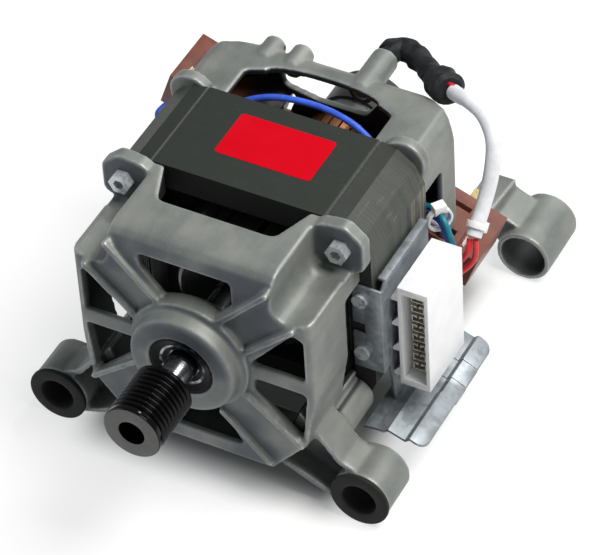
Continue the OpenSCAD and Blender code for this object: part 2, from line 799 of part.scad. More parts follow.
// Ball bearings: two grooved rings and a set of balls
function ball_d(bore, od) = (od - bore) / 2 * 0.52;
function pitch_r(bore, od) = (bore + od) / 4;
groove_play = 0.06;
module outer_ring(bore, od, y0, w) {
  b = ball_d(bore, od);
  p = pitch_r(bore, od);
  color(steel) difference() {
    ring(p + b * 0.28, od / 2, y0, y0 + w);
    turned() translate([p, y0 + w / 2]) circle(d = b + 2 * groove_play);
  }
}

module inner_ring(bore, od, y0, w) {
  b = ball_d(bore, od);
  p = pitch_r(bore, od);
  color(steel) difference() {
    ring(bore / 2, p - b * 0.28, y0, y0 + w);
    turned() translate([p, y0 + w / 2]) circle(d = b + 2 * groove_play);
  }
}

module balls(bore, od, y0, w) {
  color(steel * 0.9) for (k = [0:ball_count - 1])
    rotate([0, 360 * k / ball_count, 0]) translate([pitch_r(bore, od), y0 + w / 2, 0])
      sphere(d = ball_d(bore, od));
}

// Funnel-shaped seal in the mouth of the front hub, clear of the shaft
seal_rim = 1.2;
seal_t = 1;
seal_gap = 0.6;
module front_seal() {
  r0 = front_journal_d / 2 + seal_gap;
  r1 = hub_mouth_d / 2 - seat;
  y1 = front_bearing_y0 - gap;
  color(black_plastic) turned() polygon([[r0, y1 - seal_t], [r1 - seal_rim, hub_y0 + seal_t],
    [r1, hub_y0 + seal_t], [r1, y1], [r0, y1]]);
}

module preload_washer() {
  color(steel)
    ring(rear_bearing_d / 2 - 3, rear_bearing_d / 2 - gap, rear_bearing_y1, rear_bearing_y1 + washer_t);
}

// Shaft, stepped from the pulley seat to the rear journal
neck_y1 = pulley_y1 + 3.5;
cone_y1 = hub_y0 - 0.5;
shoulder_y0 = front_bearing_y1;
shoulder_y1 = rear_bearing_y0;
rotor_seat_y1 = brush_y + commutator_l / 2;
module shaft() {
  seat_r = pulley_bore_d / 2 - seat;
  front_r = front_journal_d / 2 - seat;
  core_r = rotor_shaft_d / 2 - seat;
  rear_r = rear_journal_d / 2 - seat;
  chamfer = 0.6;
  color(steel) turned() polygon([
    [0, shaft_y0], [seat_r - chamfer, shaft_y0], [seat_r, shaft_y0 + chamfer],
    [seat_r, neck_y1], [front_r, cone_y1], [front_r, shoulder_y0],
    [core_r, shoulder_y0], [core_r, rotor_seat_y1], [rear_r + 2, rotor_seat_y1], [rear_r + 2, shoulder_y1],
    [rear_r, shoulder_y1], [rear_r, shaft_y1], [0, shaft_y1]
  ]);
}

// Poly-V pulley with a deep bore at the front
module pulley() {
  land = 0.5;
  r = pulley_d / 2;
  y_of = -groove_count * rib_pitch / 2;
  color(black_plastic) turned() polygon(concat(
    [[pulley_bore_d / 2, pulley_y1], [pulley_bore_d / 2, shaft_y0], [pulley_mouth_d / 2, shaft_y0],
      [pulley_mouth_d / 2, pulley_y0], [r - 0.4, pulley_y0], [r, pulley_y0 + 0.4]],
    [
      for (k = [0:groove_count - 1])
        let (y = y_of + k * rib_pitch)
          each [[r, y + land / 2], [r - groove_depth, y + rib_pitch / 2 - land / 3],
            [r - groove_depth, y + rib_pitch / 2 + land / 3], [r, y + rib_pitch - land / 2]]
    ],
    [[r, pulley_y1 - 0.4], [r - 0.4, pulley_y1]]
  ));
}

// Rotor core with its winding slots
slot_w_mouth = 2.4;
slot_d = 7;
module rotor_core() {
  color(stack_grey) along_y(stack_y0, stack_y1) difference() {
    circle(r = rotor_r);
    circle(d = rotor_shaft_d);
    for (k = [0:slot_count - 1]) rotate(360 * (k + 0.5) / slot_count) {
      translate([rotor_r - slot_d - 2, 0]) circle(d = slot_d);
      translate([rotor_r - slot_d, -slot_w_mouth / 2]) square([slot_d + over, slot_w_mouth]);
    }
  }
}

// Armature winding: a bar in every slot and the end turns at both ends
end_turn_l = 12;
module armature_winding() {
  r0 = rotor_shaft_d / 2 + gap;
  r1 = rotor_r - 1.8;
  color(copper) {
    for (k = [0:slot_count - 1]) rotate([0, 360 * (k + 0.5) / slot_count, 0])
      translate([rotor_r - slot_d - 2, 0, 0]) rod(slot_d / 2 - gap, stack_y0 - 2, stack_y1 + 2);
    for (end = [0, 1]) translate([0, end * (stack_y0 + stack_y1), 0]) mirror([0, end, 0])
      turned() polygon(concat(
        [[r0, stack_y0 - gap], [r0, stack_y0 - end_turn_l]],
        corner([r0, stack_y0 - end_turn_l], [r1 - 2, stack_y0 - end_turn_l], [r1, stack_y0 - gap], 5, 4),
        [[r1, stack_y0 - gap]]
      ));
  }
}

// Commutator: bars side by side on an insulating hub
bar_gap = 0.7;
bar_t = 4.5;
module commutator_bars() {
  r1 = commutator_d / 2;
  y0 = brush_y - commutator_l / 2;
  color(copper) for (k = [0:bar_count - 1]) rotate([0, 360 * k / bar_count, 0]) intersection() {
    ring(r1 - bar_t, r1, y0, y0 + commutator_l);
    along_y(y0 - over, y0 + commutator_l + over) {
      half = 180 / bar_count;
      off = bar_gap / 2 / sin(half);
      polygon([[off, 0], [2 * r1, -(2 * r1 - off) * tan(half)], [2 * r1, (2 * r1 - off) * tan(half)]]);
    }
  }
}

module commutator_hub() {
  color(phenolic * 0.7) ring(rotor_shaft_d / 2 + seat, commutator_d / 2 - bar_t - seat,
    brush_y - commutator_l / 2 - 1, brush_y + commutator_l / 2 + 0.4);
}

// Tacho: magnet on the shaft end, coil round it, cover over both
magnet_r = 8;
coil_ring_r0 = magnet_r + 0.8;
cover_wall = 1.6;
hub_y1 = rear_bearing_y1 + washer_t + 1;
cover_lap = 5;
module tacho_magnet() {
  color(black_plastic * 2) ring(rear_journal_d / 2, magnet_r, tacho_y0, tacho_y0 + magnet_l);
}

module tacho_coil() {
  color(copper * 0.7) difference() {
    ring(coil_ring_r0, rear_hub_d / 2 - gap, hub_y1 + seat, hub_y1 + magnet_l);
    turned() translate([rear_hub_d / 2, hub_y1 + magnet_l / 2]) square([3.2, magnet_l - 3], center = true);
  }
}

module tacho_cover() {
  r0 = rear_hub_d / 2 + seat;
  r1 = r0 + cover_wall;
  y1 = shaft_y1 + 2;
  color(black_plastic) turned() polygon(concat(
    [[r0, hub_y1 - cover_lap], [r0, y1], [0, y1]],
    [[0, y1 + cover_wall]],
    corner([0, y1 + cover_wall], [r1, y1 + cover_wall], [r1, hub_y1 - cover_lap], 2, 4),
    [[r1, hub_y1 - cover_lap]]
  ));
}

// Brush gear, drawn along X from the shaft outwards
slide = 0.12;
commutator_r = commutator_d / 2;
brush_x1 = commutator_r + brush_l;
guide_x0 = commutator_r + 2.5;
guide_x1 = holder_reach - 3.2;
spring_x1 = guide_x1 - guide_wall;
holder_x0 = 27;
module box_x(x0, x1, w, h) {
  translate([x0, -w / 2, -h / 2]) cube([x1 - x0, w, h]);
}

module carbon_brush(side) {
  color([0.2, 0.2, 0.21]) at_brush(side) difference() {
    box_x(commutator_r - 1, brush_x1, brush_w, brush_t);
    rod(commutator_r + run, -brush_w, brush_w);
  }
}

guide_w = brush_w + 2 * (slide + guide_wall);
guide_h = brush_t + 2 * (slide + guide_wall);
module brush_guide(side) {
  color([0.75, 0.62, 0.30]) at_brush(side) difference() {
    box_x(guide_x0, guide_x1, guide_w, guide_h);
    box_x(guide_x0 - over, spring_x1, guide_w - 2 * guide_wall, guide_h - 2 * guide_wall);
  }
}

step_l = 9;
step_h = 3;
slot_l = 12;
module brush_holder(side) {
  color(phenolic) at_brush(side) difference() {
    box_x(holder_x0, holder_reach, holder_w, holder_h);
    box_x(holder_x0 - over, guide_x1 + seat, guide_w + 2 * seat, guide_h + 2 * seat);
    // Step of the outer end and the joint line of the cap
    translate([holder_reach - step_l, -holder_w, -holder_h / 2 - over])
      cube([step_l + over, 2 * holder_w, step_h + over]);
    translate([holder_reach - step_l - 1, -holder_w, holder_h / 2 - 0.6])
      cube([0.8, 2 * holder_w, over]);
    // Cooling slots down to the guide
    for (y = [-1, 1])
      translate([holder_reach - step_l - slot_l - 4, y * holder_w / 4 - 1.2, guide_h / 2 - over])
        cube([slot_l, 2.4, holder_h]);
  }
}

spring_r = 2;
spring_wire = 0.7;
spring_curls = 6;
spring_rings = 8;
spring_from = brush_x1 + spring_wire / 2 + seat;
spring_to = spring_x1 - spring_wire / 2 - seat;
spring_points = [
  for (i = [0:spring_curls * spring_rings])
    let (s = i / spring_rings)
      [spring_from + (spring_to - spring_from) * s / spring_curls,
        spring_r * cos(360 * s), spring_r * sin(360 * s)]
];
spring_gap = min([for (i = [0:len(spring_points) - 1 - spring_rings])
  norm(spring_points[i + spring_rings] - spring_points[i])]) - spring_wire;
echo(least_gap_between_spring_curls = spring_gap);
module brush_spring(side) {
  color(steel) at_brush(side) tube(spring_points, spring_wire / 2, 6);
}

tab_w = 6.3;
tab_t = 0.8;
tab_l = 8;
module brush_terminal(side) {
  color([0.75, 0.62, 0.30]) at_brush(side)
    translate([holder_reach - step_l - tab_w - 2, holder_w / 2, holder_h / 4]) cube([tab_w, tab_l, tab_t]);
}

// Connector bracket: folded sheet riveted to the front of the stack
bracket_x1 = stator_w / 2 + 4.2;
bracket_x0 = stator_w / 2 - 8;
bracket_y1 = stack_y0 + 38;
bracket_z0 = -24;
bracket_z1 = 20;
wing_z = 1 - stator_h / 2;
wing_y0 = stack_y0 - 9;
rivet_d = 3;
rivet_l = 5;
rivet_z = [-16, 11];
module at_rivets() {
  for (z = rivet_z) translate([stator_w / 2 - 4.5, 0, z]) children();
}

// Wing profile of x and z: a flat, a dip and a turned-down edge
wing_top = [[0, -0.6], [4, 0], [8, 0], [10, 1.4], [17, -1.2], [19, 0.4], [wing_w, -2.6]];
wing_inset = 4.2;
wing_edge_slope = -0.5;
wing_r = 4;
// Pressed steps along the wing: start and end of each stretch, and its drop
wing_steps = [[-over, 27, 0], [27, 36, 0.8], [36, 46, 0.4], [46, wing_l + over, 0]];
wing_root = wing_z - sheet + 0.2;
module wing() {
  x0 = bracket_x1 - sheet - wing_inset;
  tip = wing_top[len(wing_top) - 1];
  top = concat(wing_top, [tip + over * [1, wing_edge_slope]]);
  intersection() {
    for (s = wing_steps) along_y(wing_y0 + s[0], wing_y0 + s[1]) polygon(concat(
      [for (p = top) [x0 + p[0], wing_z + p[1] - s[2]]],
      [for (i = [len(top) - 1:-1:0]) [x0 + top[i][0], wing_z + top[i][1] - s[2] - sheet]]
    ));
    along_z(wing_z - wing_w, wing_z + wing_w) polygon(concat(
      [[x0 - over, wing_y0 + wing_l], [x0 - over, wing_y0]],
      corner([x0, wing_y0], [x0 + wing_w, wing_y0], [x0 + wing_w, wing_y0 + wing_l], wing_r, 4),
      corner([x0 + wing_w, wing_y0], [x0 + wing_w, wing_y0 + wing_l], [x0, wing_y0 + wing_l], wing_r, 4)
    ));
  }
}

module connector_bracket() {
  x0 = bracket_x1 - sheet;
  color(zinc) {
    difference() {
      translate([bracket_x0, stack_y0 - sheet, bracket_z0])
        cube([bracket_x1 - bracket_x0, sheet, bracket_z1 - 2 - bracket_z0]);
      at_rivets() rod(rivet_d / 2 + seat, stack_y0 - 2 * sheet, stack_y0 + over);
      translate([bracket_x0 - over, stack_y0 - 2 * sheet, -6]) cube([6, 3 * sheet, 5]);
    }
    along_x(x0, bracket_x1) polygon([[stack_y0 - sheet, bracket_z0], [stack_y0 + 4, bracket_z0],
      [stack_y0 + 8, wing_root], [bracket_y1, wing_root], [bracket_y1, bracket_z1],
      [stack_y0 + 3, bracket_z1], [stack_y0 - sheet, bracket_z1 - 4]]);
    translate([x0 - 2, stack_y0 + 3, bracket_z1]) cube([2 + sheet, bracket_y1 - stack_y0 - 3, sheet]);
    wing();
  }
}

module bracket_rivets() {
  color(zinc) at_rivets() {
    rod(rivet_d / 2, stack_y0 - sheet, stack_y0 + rivet_l);
    rod(rivet_d, stack_y0 - sheet - 1.4, stack_y0 - sheet);
  }
}

// Connector housing with its mating mouth at the front
connector_x0 = bracket_x1 + 3.2;
connector_x1 = connector_x0 + connector_t;
connector_y0 = stack_y0 + 5.4;
connector_y1 = connector_y0 + connector_l;
connector_z1 = 16.5;
connector_z0 = connector_z1 - connector_h;
connector_mid_x = (connector_x0 + connector_x1) / 2;
connector_mid_z = (connector_z0 + connector_z1) / 2;
connector_wall = 1.5;
mouth_depth = 12;
tooth_count = 4;
tooth_h = 5.5;
tooth_tip = 1.4;
module connector_housing() {
  color([0.95, 0.95, 0.95]) difference() {
    union() {
      translate([connector_x0, connector_y0, connector_z0]) cube([connector_t, connector_l, connector_h]);
      // Latch teeth that stand on the bracket
      for (k = [0:tooth_count - 1])
        translate([0, 0, connector_z0 + tooth_h / 2 + k * (connector_h - 2 * tooth_h) / (tooth_count - 1)])
          along_y(connector_y0 + 1, connector_y1 - 1) polygon([[bracket_x1, 0], [connector_x0 + over, 0],
            [connector_x0 + over, tooth_h], [connector_x0, tooth_h], [bracket_x1, tooth_tip]]);
    }
    translate([connector_x0 + connector_wall, connector_y0 - over, connector_z0 + 2 * connector_wall])
      cube([connector_t - 2 * connector_wall, mouth_depth + over, connector_h - 4 * connector_wall]);
    // Ways for the leads at the back
    for (k = [0:contact_count - 1]) translate([connector_mid_x, connector_y0, contact_z(k)])
      rod(lead_d / 2 + seat, connector_l - 6, connector_l + over);
  }
}

function contact_z(k) = connector_mid_z + (k - (contact_count - 1) / 2) * contact_pitch;
module connector_contacts() {
  color([0.62, 0.56, 0.40]) for (k = [0:contact_count - 1])
    translate([connector_mid_x, connector_y0 + mouth_depth, contact_z(k)]) difference() {
      translate([-2.6, -8, -1.7]) cube([5.2, 8 - seat, 3.4]);
      translate([-1.8, -8 - over, -0.7]) cube([3.6, 6, 1.4]);
    }
}

// Leads. Each route is a list of points from end to end.
boss_end = rear_y1 + boss_l;
coil_face = coil_x1 + gap + 0.2;
lead_end_y = connector_y1 - 4;

// Straight stretch into contact way k at the back of the connector
function into_way(k) = [for (y = [9, 4, 0]) [connector_mid_x, lead_end_y + y, contact_z(k)]];

// Points measured from the end of the cable boss, and from the rear edge of a side of the stack
function past_boss(dx, dy, dz) = [boss_x + dx, boss_end + dy, boss_z + dz];
function at_side(side, dx, dy, z) = [side * (stator_w / 2 + dx), stack_y1 + dy, z];
// Point over an outer end of the field turns, with a lead lying on them
lead_seat = turn_r + lead_d / 2 + gap;
function on_turns(side, dx, dy, dz) = [side * (coil_x0 + dx), stack_y1 + dy, turn_z + dz];

boot_route = [past_boss(0, gap, 0), past_boss(0, 2.5, 0), past_boss(0, 5, 0), past_boss(4.5, 8, 0),
  past_boss(12.5, 4, 0), past_boss(21.5, -3, 2), past_boss(29.5, -10, 5), past_boss(33.5, -13, 7)];
sleeve_route = [past_boss(34, -13.4, 7.2), past_boss(38, -16.4, 9.2), at_side(1, 4, 30, 50),
  at_side(1, 12, 26, 49), at_side(1, 18, 21, 43), at_side(1, 20, 15, 33), at_side(1, 20, 9, 24),
  at_side(1, 20, -1, 14)];
red_routes = [
  concat([at_side(1, 21.2, -1.8, 13.1), at_side(1, 21, -3.5, 4)], into_way(4)),
  concat([at_side(1, 18.8, -1.8, 13.1), at_side(1, 19, -5, 8)], into_way(5))
];
grey_route = concat([[coil_face, stack_y1 + 7, 5], at_side(1, 1, 7, 5), at_side(1, 10, 2, 0)], into_way(3));
teal_route = concat([[coil_face, stack_y1 + 5, 15], at_side(1, 2, 3, 17.5), at_side(1, 8, -1.5, 17.5)],
  into_way(7));
blue_route = concat([[coil_face, stack_y1 + 6, 10], at_side(1, 2, 3, 13.5), at_side(1, 8, -1.5, 13.5)],
  into_way(6));
field_half = [on_turns(1, 3.8, 0.6, lead_seat), on_turns(1, 2.8, 3, lead_seat + 0.5),
  on_turns(1, -3.2, 8, lead_seat + 5.2), on_turns(1, -16.2, 12, lead_seat + 10.2)];
field_lead_route = concat(
  [for (p = field_half) [-p[0], p[1], p[2]]],
  [on_turns(1, -coil_x0, 14, lead_seat + 11.2)],
  [for (i = [len(field_half) - 1:-1:0]) field_half[i]]
);
holder_face_y = brush_y - holder_w / 2;
brush_lead_route = [[-coil_face, stack_y1 + 3, 12], at_side(-1, 3, 2, 16), at_side(-1, 8, 3, 20),
  [-stator_w / 2 - 8, holder_face_y - 6, 21], [9 - holder_reach, holder_face_y - 3, 21.5],
  [9 - holder_reach, holder_face_y - gap, 21.5]];

module tacho_boot() {
  color([0.1, 0.1, 0.1]) tube(smooth(boot_route, 2), boot_d / 2, 10);
}
module tacho_sleeve() {
  color("white") tube(smooth(sleeve_route, 2), sleeve_d / 2, 10);
}
module red_leads() {
  color("red") for (p = red_routes) tube(p, lead_d / 2 - 0.2, 8);
}
module grey_lead() {
  color("grey") tube(smooth(grey_route, 2), lead_d / 2, 8);
}
module teal_lead() {
  color("teal") tube(smooth(teal_route, 2), lead_d / 2, 8);
}
module blue_lead() {
  color("blue") tube(smooth(blue_route, 2), lead_d / 2, 8);
}
module field_lead() {
  color("blue") tube(smooth(field_lead_route, 2), lead_d / 2, 8);
}
module brush_lead() {
  color("blue") tube(smooth(brush_lead_route, 2), lead_d / 2, 8);
}

// Cable ties: a band and its head
tie_w = 2.4;
tie_t = 1;
module cable_tie(r) {
  difference() {
    union() {
      cylinder(r = r + tie_t, h = tie_w, center = true);
      translate([0, r + tie_t, 0]) cube([5, 4, 4], center = true);
    }
    cylinder(r = r, h = tie_w + 2 * over, center = true);
  }
}
module cable_ties() {
  color([0.9, 0.9, 0.88]) {
    translate(at_side(1, 20, 2, 17)) rotate([-45, 0, 0]) cable_tie(sleeve_d / 2 + 0.1);
    translate(at_side(1, 5, 0.75, 15.5)) rotate([0, 0, -37]) rotate([0, 90, 0]) rotate([0, 0, 90])
      cable_tie(lead_d + 1.7);
  }
}

front_shield();
rear_shield();
stator_core();
field_coil(-1);  // field_coil_left
field_coil(1);  // field_coil_right
field_turns(-1);  // field_turns_left
field_turns(1);  // field_turns_right
coil_former(-1);  // coil_former_left
coil_former(1);  // coil_former_right
stator_screws();
lug_bush(-1);  // lug_bush_left
lug_bush(1);  // lug_bush_right
outer_ring(front_journal_d, front_bearing_d, front_bearing_y0, front_bearing_w);  // front_bearing_outer_ring
inner_ring(front_journal_d, front_bearing_d, front_bearing_y0, front_bearing_w);  // front_bearing_inner_ring
balls(front_journal_d, front_bearing_d, front_bearing_y0, front_bearing_w);  // front_bearing_balls
front_seal();
outer_ring(rear_journal_d, rear_bearing_d, rear_bearing_y0, rear_bearing_w);  // rear_bearing_outer_ring
inner_ring(rear_journal_d, rear_bearing_d, rear_bearing_y0, rear_bearing_w);  // rear_bearing_inner_ring
balls(rear_journal_d, rear_bearing_d, rear_bearing_y0, rear_bearing_w);  // rear_bearing_balls
preload_washer();
shaft();
pulley();
rotor_core();
armature_winding();
commutator_bars();
commutator_hub();
tacho_magnet();
tacho_coil();
tacho_cover();
brush_holder(-1);  // brush_holder_left
brush_holder(1);  // brush_holder_right
brush_guide(-1);  // brush_guide_left
brush_guide(1);  // brush_guide_right
carbon_brush(-1);  // carbon_brush_left
carbon_brush(1);  // carbon_brush_right
brush_spring(-1);  // brush_spring_left
brush_spring(1);  // brush_spring_right
brush_terminal(-1);  // brush_terminal_left
brush_terminal(1);  // brush_terminal_right
connector_bracket();
bracket_rivets();
connector_housing();
connector_contacts();
tacho_boot();
tacho_sleeve();
red_leads();
grey_lead();
teal_lead();
blue_lead();
field_lead();
brush_lead();
cable_ties();
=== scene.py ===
"""Dressed scene of a washing machine motor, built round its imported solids.

Every length in the classes is in millimetres and becomes metres when a mesh is made.
The shaft runs along Y, the belt is at -Y, the connector at +X and up is +Z.
"""

import logging
import math
from collections.abc import Iterable, Sequence
from dataclasses import dataclass
from enum import Enum
from typing import Any, ClassVar

import bmesh
import bpy
import numpy as np
from mathutils import Matrix, Vector, noise


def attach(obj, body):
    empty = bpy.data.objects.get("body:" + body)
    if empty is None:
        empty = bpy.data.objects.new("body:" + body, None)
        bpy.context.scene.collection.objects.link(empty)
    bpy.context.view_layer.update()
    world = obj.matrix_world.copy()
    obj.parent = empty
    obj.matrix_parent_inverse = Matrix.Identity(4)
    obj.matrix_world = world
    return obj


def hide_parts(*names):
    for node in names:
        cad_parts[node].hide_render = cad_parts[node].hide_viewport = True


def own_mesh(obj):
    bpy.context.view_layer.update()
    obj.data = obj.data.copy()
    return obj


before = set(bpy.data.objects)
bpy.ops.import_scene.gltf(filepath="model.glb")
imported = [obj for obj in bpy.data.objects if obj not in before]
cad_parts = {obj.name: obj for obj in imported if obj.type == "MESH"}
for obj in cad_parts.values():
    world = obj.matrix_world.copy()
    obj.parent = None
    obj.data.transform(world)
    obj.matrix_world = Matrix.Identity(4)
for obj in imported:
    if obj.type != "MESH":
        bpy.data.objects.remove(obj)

log = logging.getLogger("motor")
MM = 0.001
# Distance in metres within which two corners are one
MERGE = 1e-7
# Faces within this many degrees are one flat
FLAT_ANGLE = 1.0
# Edges over this many degrees are rounded
EDGE_ANGLE = 35.0
# Shading breaks at edges over this many degrees
SHARP_ANGLE = 40.0
Point = tuple[float, float, float]
Colour = tuple[float, float, float]
Band = tuple[float, float]
# Usual contrast of a noise in a finish
SOFT: Band = (0.3, 0.7)


class Body(Enum):
    """Bodies of the motor that the pieces made here ride on."""

    STATOR = "stator"
    ROTOR = "rotor"


class Side(Enum):
    """Left or right half of a mirrored pair, by the sign of X."""

    LEFT = -1
    RIGHT = 1

    @property
    def word(self) -> str:
        """The side's name in piece names."""
        return self.name.lower()


# Node trees


@dataclass(frozen=True)
class Value:
    """A number or colour socket that takes Python operators."""

    graph: "Graph"
    socket: bpy.types.NodeSocket

    def output(self, name: str) -> "Value":
        """Another output of the same node."""
        return Value(self.graph, self.socket.node.outputs[name])

    def __add__(self, other: Any) -> "Value":
        """Sum of two values."""
        return self.graph.math("ADD", self, other)

    def __radd__(self, other: Any) -> "Value":
        """Sum with a number on the left."""
        return self.graph.math("ADD", other, self)

    def __sub__(self, other: Any) -> "Value":
        """Difference of two values."""
        return self.graph.math("SUBTRACT", self, other)

    def __rsub__(self, other: Any) -> "Value":
        """Difference from a number on the left."""
        return self.graph.math("SUBTRACT", other, self)

    def __mul__(self, other: Any) -> "Value":
        """Product of two values."""
        return self.graph.math("MULTIPLY", self, other)

    def __rmul__(self, other: Any) -> "Value":
        """Product with a number on the left."""
        return self.graph.math("MULTIPLY", other, self)

    def __truediv__(self, other: Any) -> "Value":
        """Quotient of two values."""
        return self.graph.math("DIVIDE", self, other)

    def __pow__(self, other: Any) -> "Value":
        """Power of this value."""
        return self.graph.math("POWER", self, other)

    def __abs__(self) -> "Value":
        """Size of this value without its sign."""
        return self.graph.math("ABSOLUTE", self)

    def sine(self) -> "Value":
        """Sine of this value."""
        return self.graph.math("SINE", self)

    def larger(self, other: Any) -> "Value":
        """The larger of two values."""
        return self.graph.math("MAXIMUM", self, other)

    def ramp(self, low: float, high: float) -> "Value":
        """Smooth step of this value.

        Args:
            low: Value that gives nought.
            high: Value that gives one.

        Returns:
            A value between nought and one.
        """
        return self.graph.node(
            "ShaderNodeMapRange",
            {"interpolation_type": "SMOOTHSTEP"},
            {"Value": self, "From Min": low, "From Max": high},
        )

    def step(self, low: float, high: float) -> "Value":
        """Smooth step of a length, between two lengths in millimetres."""
        return self.ramp(low * MM, high * MM)


class Graph:
    """A node tree with one way to add any node."""

    def __init__(self, tree: bpy.types.NodeTree) -> None:
        """Start on a tree.

        Args:
            tree: The node tree that nodes go into.
        """
        self.tree = tree

    def node(
        self,
        kind: str,
        settings: dict[str, Any] | None = None,
        inputs: dict[str | int, Any] | None = None,
        out: str | int = 0,
    ) -> Value:
        """Add a node.

        Args:
            kind: The node's type name.
            settings: Node properties, set first.
            inputs: Values or links by socket name or number.
            out: The output that is wanted.

        Returns:
            That output.
        """
        node = self.tree.nodes.new(kind)
        for key, setting in (settings or {}).items():
            setattr(node, key, setting)
        for key, given in (inputs or {}).items():
            self.feed(node.inputs[key], given)
        return Value(self, node.outputs[out] if node.outputs else node.inputs[0])

    def feed(self, socket: bpy.types.NodeSocket, given: Any) -> None:
        """Give a socket its value or link.

        Args:
            socket: The input socket.
            given: A value of this graph, a number, a colour or a data block.
        """
        if isinstance(given, Value):
            self.tree.links.new(given.socket, socket)
        elif socket.type == "RGBA" and len(given) == 3:
            socket.default_value = (*given, 1.0)
        else:
            socket.default_value = given

    def math(self, operation: str, *given: Any) -> Value:
        """Add a Math node on numbers."""
        return self.node("ShaderNodeMath", {"operation": operation}, dict(enumerate(given)))


class ShaderGraph(Graph):
    """The node tree of one material."""

    noise_falloff: ClassVar[float] = 0.55
    mix_a: ClassVar[int] = 6
    mix_b: ClassVar[int] = 7
    mix_colour: ClassVar[int] = 2

    def __init__(self, name: str) -> None:
        """Make an empty material.

        Args:
            name: The material's name.
        """
        self.material = bpy.data.materials.new(name)
        self.material.use_nodes = True
        super().__init__(self.material.node_tree)
        self.tree.nodes.clear()
        self.place = self.node("ShaderNodeTexCoord", out="Object")
        self.normal = self.node("ShaderNodeNewGeometry", out="Normal")

    def axes(self, vector: Value) -> tuple[Value, Value, Value]:
        """The three parts of a vector."""
        split = self.node("ShaderNodeSeparateXYZ", inputs={0: vector})
        return split.output("X"), split.output("Y"), split.output("Z")

    def stretched(self, scale: Point) -> Value:
        """Object coordinates, stretched along the axes."""
        return self.node("ShaderNodeMapping", inputs={"Vector": self.place, "Scale": scale})

    def noise(self, grain: float, detail: float = 4.0, at: Value | None = None) -> Value:
        """Smooth noise.

        Args:
            grain: Size of its patches in millimetres.
            detail: Number of finer layers.
            at: Coordinates to read in place of the object's own.

        Returns:
            A value about one half.
        """
        where = self.place if at is None else at
        inputs = {
            "Vector": where,
            "Scale": 1.0 / (grain * MM),
            "Detail": detail,
            "Roughness": self.noise_falloff,
        }
        return self.node("ShaderNodeTexNoise", inputs=inputs)

    def cells(self, grain: float) -> Value:
        """Cells of a size in millimetres, each with a number of its own."""
        inputs = {"Vector": self.place, "Scale": 1.0 / (grain * MM)}
        return self.axes(self.node("ShaderNodeTexVoronoi", inputs=inputs, out="Color"))[0]

    def radius(self) -> Value:
        """Distance from the shaft."""
        x, _, z = self.axes(self.place)
        return (x * x + z * z) ** 0.5

    def mix(self, factor: Any, a: Any, b: Any) -> Value:
        """Blend of two colours.

        Args:
            factor: Share of the second colour.
            a: First colour.
            b: Second colour.

        Returns:
            The blended colour.
        """
        inputs = {0: factor, self.mix_a: a, self.mix_b: b}
        return self.node("ShaderNodeMix", {"data_type": "RGBA"}, inputs, self.mix_colour)

    def bump(self, height: Value, depth: float, strength: float = 1.0) -> Value:
        """Surface relief.

        Args:
            height: Height map between nought and one.
            depth: Its depth in millimetres.
            strength: Share of it that shows.

        Returns:
            A normal.
        """
        inputs = {"Strength": strength, "Distance": depth * MM, "Height": height}
        return self.node("ShaderNodeBump", inputs=inputs)

    def surface(self, **inputs: Any) -> bpy.types.Material:
        """Close the tree with a shader.

        Args:
            inputs: Values or links of the shader's sockets, with _ for a space.

        Returns:
            The material.
        """
        named = {key.replace("_", " "): given for key, given in inputs.items()}
        shader = self.node("ShaderNodeBsdfPrincipled", inputs=named)
        self.node("ShaderNodeOutputMaterial", inputs={"Surface": shader})
        return self.material


# Finishes


@dataclass(frozen=True)
class Finish:
    """A surface finish that makes its material once."""

    name: str
    made: ClassVar[dict[str, bpy.types.Material]] = {}

    def material(self) -> bpy.types.Material:
        """The finish's material, made on first use."""
        if self.name not in self.made:
            self.made[self.name] = self.make(ShaderGraph(self.name))
        return self.made[self.name]

    def make(self, g: ShaderGraph) -> bpy.types.Material:
        """Build the node tree.

        Args:
            g: An empty material graph.

        Returns:
            The finished material.
        """
        raise NotImplementedError


